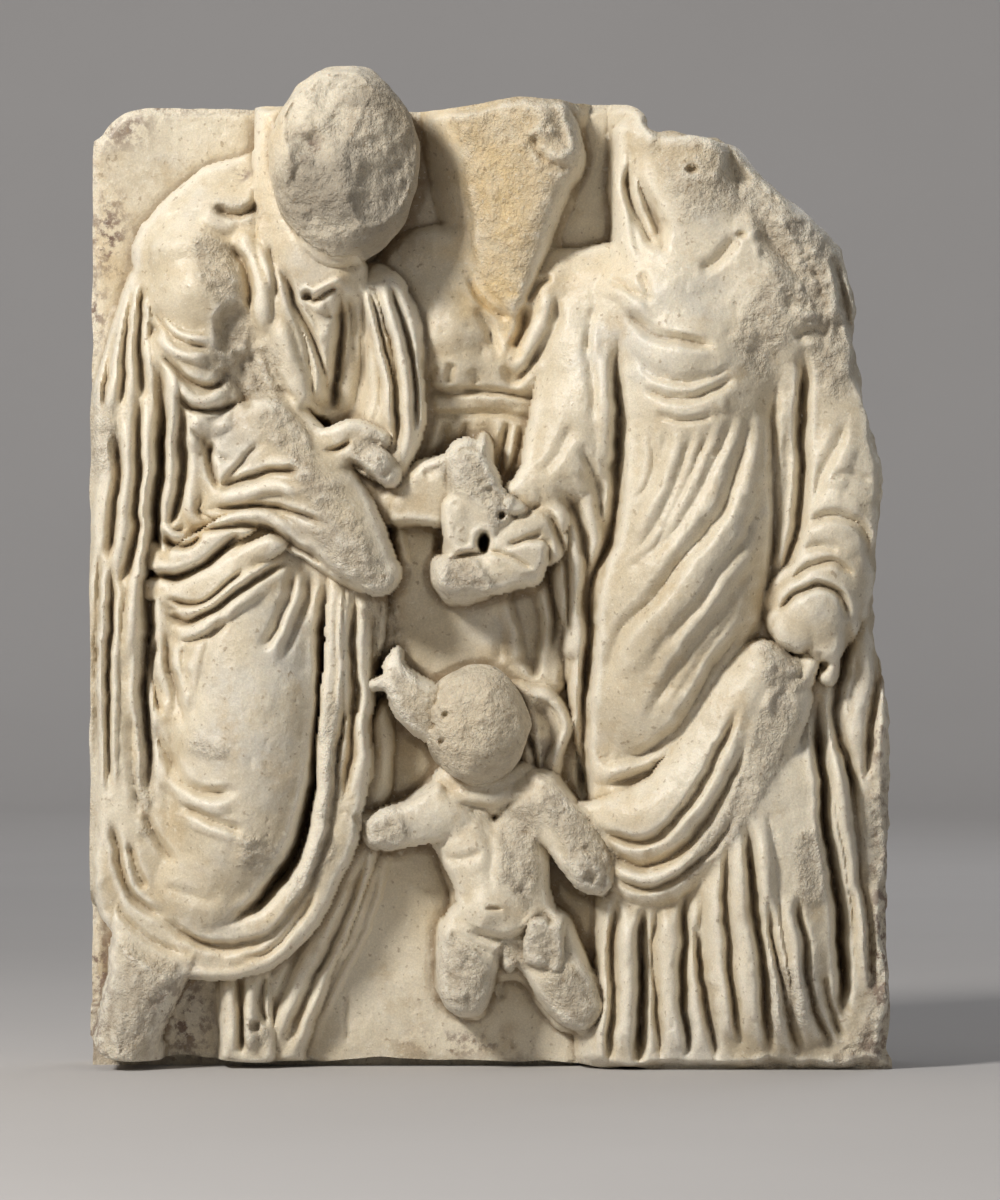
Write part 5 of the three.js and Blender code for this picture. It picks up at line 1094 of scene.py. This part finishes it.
class Nodes:
    """A material's nodes, added and joined in order."""

    def __init__(self, name):
        self.material = bpy.data.materials.new(name)
        self.material.use_nodes = True
        self.tree = self.material.node_tree
        self.tree.nodes.clear()
        self.column = 0

    def add(self, kind, label="", **values):
        node = self.tree.nodes.new(kind)
        node.label = label
        node.location = (self.column * 190, 0)
        self.column += 1
        for key, value in values.items():
            setattr(node, key, value)
        return node

    def join(self, out, into):
        self.tree.links.new(out, into)

    def feed(self, value, into):
        if isinstance(value, bpy.types.NodeSocket):
            self.join(value, into)
        else:
            into.default_value = value

    def attribute(self, name):
        return self.add("ShaderNodeAttribute", name, attribute_name=name).outputs["Fac"]

    def noise(self, where, scale, detail=3.0, roughness=0.55, label=""):
        node = self.add("ShaderNodeTexNoise", label)
        self.join(where, node.inputs["Vector"])
        node.inputs["Scale"].default_value = scale
        node.inputs["Detail"].default_value = detail
        node.inputs["Roughness"].default_value = roughness
        return node.outputs["Fac"]

    def remap(self, value, low, high, to_low=0.0, to_high=1.0):
        node = self.add("ShaderNodeMapRange", interpolation_type="SMOOTHSTEP")
        self.join(value, node.inputs["Value"])
        node.inputs["From Min"].default_value = low
        node.inputs["From Max"].default_value = high
        node.inputs["To Min"].default_value = to_low
        node.inputs["To Max"].default_value = to_high
        return node.outputs["Result"]

    def maths(self, operation, a, b):
        node = self.add("ShaderNodeMath", operation=operation)
        self.feed(a, node.inputs[0])
        self.feed(b, node.inputs[1])
        return node.outputs[0]

    def grey_of(self, value):
        node = self.add("ShaderNodeCombineColor")
        for socket in node.inputs:
            self.join(value, socket)
        return node.outputs[0]

    def mix(self, share, a, b, label="", blend="MIX"):
        node = self.add("ShaderNodeMix", label, data_type="RGBA", blend_type=blend)
        self.feed(share, node.inputs[0])
        self.feed(a, node.inputs[6])
        self.feed(b, node.inputs[7])
        return node.outputs[2]

    def surface(self, colour, roughness):
        """The surface's own shader, joined to the material's output."""
        shader = self.add("ShaderNodeBsdfPrincipled")
        self.join(colour, shader.inputs["Base Color"])
        self.feed(roughness, shader.inputs["Roughness"])
        out = self.add("ShaderNodeOutputMaterial")
        self.join(shader.outputs["BSDF"], out.inputs["Surface"])
        return shader


def weathered_marble():
    """Ivory marble, with its stains and wear laid over it in the order that they happened to the stone,
    and painted shade in the hollows and some recesses and painted highlight on raised edges laid in among
    them.
    """
    n = Nodes("weathered_marble")
    place = n.add("ShaderNodeTexCoord", "place on the stone").outputs["Object"]
    marks = ["hollow", "proud", "broken", "honey", "crust", "grime_and_shade"]
    hollow, proud, broken, honey, crust, grime_and_shade = [n.attribute(name) for name in marks]
    clouds = n.noise(place, 9.0, 4.0, 0.6, "clouds in the marble")
    blotches = n.noise(place, 34.0, 5.0, 0.68, "patina blotches")
    mottle = n.noise(place, 130.0, 4.0, 0.65, "mottling")
    rubble = n.noise(place, 330.0, 3.0, 0.7, "rubble")
    grains = n.noise(place, 900.0, 2.0, 0.6, "crystals")
    ivory, cream = (0.80, 0.725, 0.575, 1), (0.64, 0.545, 0.385, 1)
    pale_grey, dark_grey = (0.65, 0.58, 0.46, 1), (0.44, 0.37, 0.28, 1)
    veins = n.noise(place, 13.0, 3.0, 0.6, "bluish veins")
    pepper = n.noise(place, 260.0, 2.0, 0.5, "pepper")
    rubble_grey = n.mix(n.remap(mottle, 0.35, 0.65), pale_grey, dark_grey, "broken stone")
    breaks = n.maths("MULTIPLY", broken, n.remap(blotches, 0.28, 0.6, 0.3, 0.8))
    # Grey: weathering, and in some recesses painted shade.
    grey_and_shade = n.maths("MULTIPLY", grime_and_shade, n.remap(blotches, 0.28, 0.62, 0.45, 1.0))
    stain = n.maths("MULTIPLY", honey, n.remap(blotches, 0.28, 0.6, 0.2, 0.85))
    # Painted shade: creases and recesses darkened brown.
    painted_shade = n.maths("MULTIPLY", n.remap(hollow, 0.10, 0.85), n.remap(mottle, 0.25, 0.75, 0.72, 1.0))
    # Raised edges made paler: partly wear, partly painted highlight.
    worn_and_lit = n.maths("MULTIPLY", proud, n.remap(clouds, 0.35, 0.6, 0.25, 0.75))
    spot = n.maths("MULTIPLY", crust, n.remap(mottle, 0.46, 0.60))
    clean = n.remap(grime_and_shade, 0.3, 1.0, 1.0, 0.3)
    fresh = n.maths("MULTIPLY", n.remap(rubble, 0.58, 0.72, 0.0, 0.45), clean)
    colour = n.mix(n.remap(clouds, 0.36, 0.64), ivory, cream, "ivory to cream")
    for share, tint, label in [
        (n.remap(veins, 0.54, 0.7, 0.0, 0.5), (0.66, 0.645, 0.60, 1), "cool veins"),
        (n.remap(blotches, 0.50, 0.70, 0.0, 0.55), (0.58, 0.45, 0.27, 1), "patina"),
        (breaks, rubble_grey, "breaks"),
        # grey weathering, and painted shade in some recesses
        (grey_and_shade, (0.27, 0.225, 0.165, 1), "grey weathering"),
        (stain, (0.76, 0.57, 0.30, 1), "honey stain"),
        # painted shade in creases and recesses
        (painted_shade, (0.29, 0.205, 0.115, 1), "dirt in the hollows"),
        # raised edges: wear and painted highlight
        (worn_and_lit, (0.90, 0.845, 0.72, 1), "rubbed edges"),
        (spot, (0.20, 0.13, 0.10, 1), "root marks and crust"),
        (n.remap(pepper, 0.64, 0.74, 0.0, 0.6), (0.36, 0.27, 0.17, 1), "specks"),
        (fresh, (0.88, 0.84, 0.73, 1), "fresh crystals"),
    ]:
        colour = n.mix(share, colour, tint, label)
    sparkle = n.remap(grains, 0.35, 0.7, 0.92, 1.05)
    colour = n.mix(1.0, colour, n.grey_of(sparkle), "crystals", "MULTIPLY")

    rough = n.remap(broken, 0.0, 0.9, 0.43, 0.86)
    rough = n.maths("ADD", rough, n.remap(grains, 0.3, 0.7, -0.10, 0.10))
    wear = n.remap(broken, 0.0, 0.8, 0.10, 1.6)
    height = n.maths("MULTIPLY", rubble, wear)
    height = n.maths("ADD", height, n.maths("MULTIPLY", grains, n.remap(broken, 0.0, 0.8, 0.08, 0.26)))
    height = n.maths("ADD", height, n.maths("MULTIPLY", mottle, n.remap(broken, 0.0, 0.8, 0.55, 1.6)))
    bump = n.add("ShaderNodeBump", "crystals and wear")
    bump.inputs["Strength"].default_value = 0.8
    bump.inputs["Distance"].default_value = 0.0020
    n.join(height, bump.inputs["Height"])
    shader = n.surface(colour, rough)
    n.join(bump.outputs["Normal"], shader.inputs["Normal"])
    shader.inputs["Specular IOR Level"].default_value = 0.45
    shader.inputs["Subsurface Weight"].default_value = 0.15
    shader.inputs["Subsurface Radius"].default_value = (1.0, 0.75, 0.5)
    shader.inputs["Subsurface Scale"].default_value = 0.004
    return n.material


marble.data.materials.clear()
marble.data.materials.append(weathered_marble())
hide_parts("marble_relief")
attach(marble, "root")


# ------------------------------------------------------------------ floor, light and camera

def plain_floor():
    """A pale round floor that curves up all round, well away from the stone."""
    radius, cove, wall, steps = 5.0, 1.4, 2.5, 16
    take()
    bpy.ops.mesh.primitive_circle_add(vertices=128, radius=radius, fill_type="NGON")
    floor = added("floor")
    bpy.ops.object.mode_set(mode="EDIT")
    bpy.ops.mesh.select_mode(type="EDGE")
    bpy.ops.mesh.select_all(action="SELECT")
    wide = radius
    for k in range(steps):
        a, b = k / steps * math.pi / 2, (k + 1) / steps * math.pi / 2
        rise = cove * (math.cos(a) - math.cos(b))
        wider = wide + cove * (math.sin(b) - math.sin(a))
        bpy.ops.mesh.extrude_edges_move(TRANSFORM_OT_translate={"value": (0, 0, rise)})
        grow = wider / wide
        bpy.ops.transform.resize(value=(grow, grow, 1), center_override=(0, 0, 0))
        wide = wider
    bpy.ops.mesh.extrude_edges_move(TRANSFORM_OT_translate={"value": (0, 0, wall)})
    bpy.ops.object.mode_set(mode="OBJECT")
    bpy.ops.object.shade_smooth()
    n = Nodes("pale_floor")
    place = n.add("ShaderNodeTexCoord").outputs["Object"]
    tone = n.mix(n.noise(place, 3.0), (0.47, 0.455, 0.45, 1), (0.50, 0.485, 0.48, 1))
    n.surface(tone, 0.9)
    floor.data.materials.append(n.material)


def soft_light(name, place, aim, size, power, colour):
    """A square lamp at a place, turned to face what it aims at."""
    bpy.ops.object.light_add(type="AREA", location=place)
    lamp = bpy.context.object
    lamp.name = name
    lamp.data.size = size
    lamp.data.energy = power
    lamp.data.color = colour
    way = np.array(aim, float) - np.array(place, float)
    flat = math.hypot(way[0], way[1])
    lamp.rotation_euler = (math.atan2(flat, -way[2]), 0, math.atan2(way[1], way[0]) - math.pi / 2)


MIDDLE = (0, 0, 0.30)                         # what the lights aim at
plain_floor()
soft_light("key", (-1.75, -1.85, 2.0), MIDDLE, 0.55, 88, (1.0, 0.965, 0.91))
soft_light("fill", (2.4, -2.6, 0.9), MIDDLE, 2.4, 8, (0.93, 0.96, 1.0))
soft_light("above", (-0.2, 0.2, 2.6), MIDDLE, 1.8, 8, (1.0, 0.98, 0.95))
soft_light("behind", (1.6, 2.8, 2.0), MIDDLE, 1.6, 14, (0.95, 0.97, 1.0))
soft_light("backdrop", (-0.8, 2.9, 4.3), (-0.2, 6.4, 3.0), 2.4, 80, (1.0, 0.99, 0.97))
world = bpy.data.worlds.new("studio")
world.use_nodes = True
world.node_tree.nodes["Background"].inputs["Color"].default_value = (0.86, 0.88, 0.92, 1)
world.node_tree.nodes["Background"].inputs["Strength"].default_value = 0.18
bpy.context.scene.world = world
bpy.context.scene.view_settings.view_transform = "Standard"

EYE = (0.0057, -4.0, 0.2838)                  # square on, a little below half height
TO_CARVING = 3.965                            # from the eye to the middle of the carved depth
VIEW_HEIGHT = 0.72                            # what the frame takes in at that distance
SENSOR = 36
bpy.ops.object.camera_add(location=EYE, rotation=(math.pi / 2, 0, 0))
camera = bpy.context.object
camera.data.lens = SENSOR * TO_CARVING / VIEW_HEIGHT
camera.data.clip_end = 50
bpy.context.scene.camera = camera
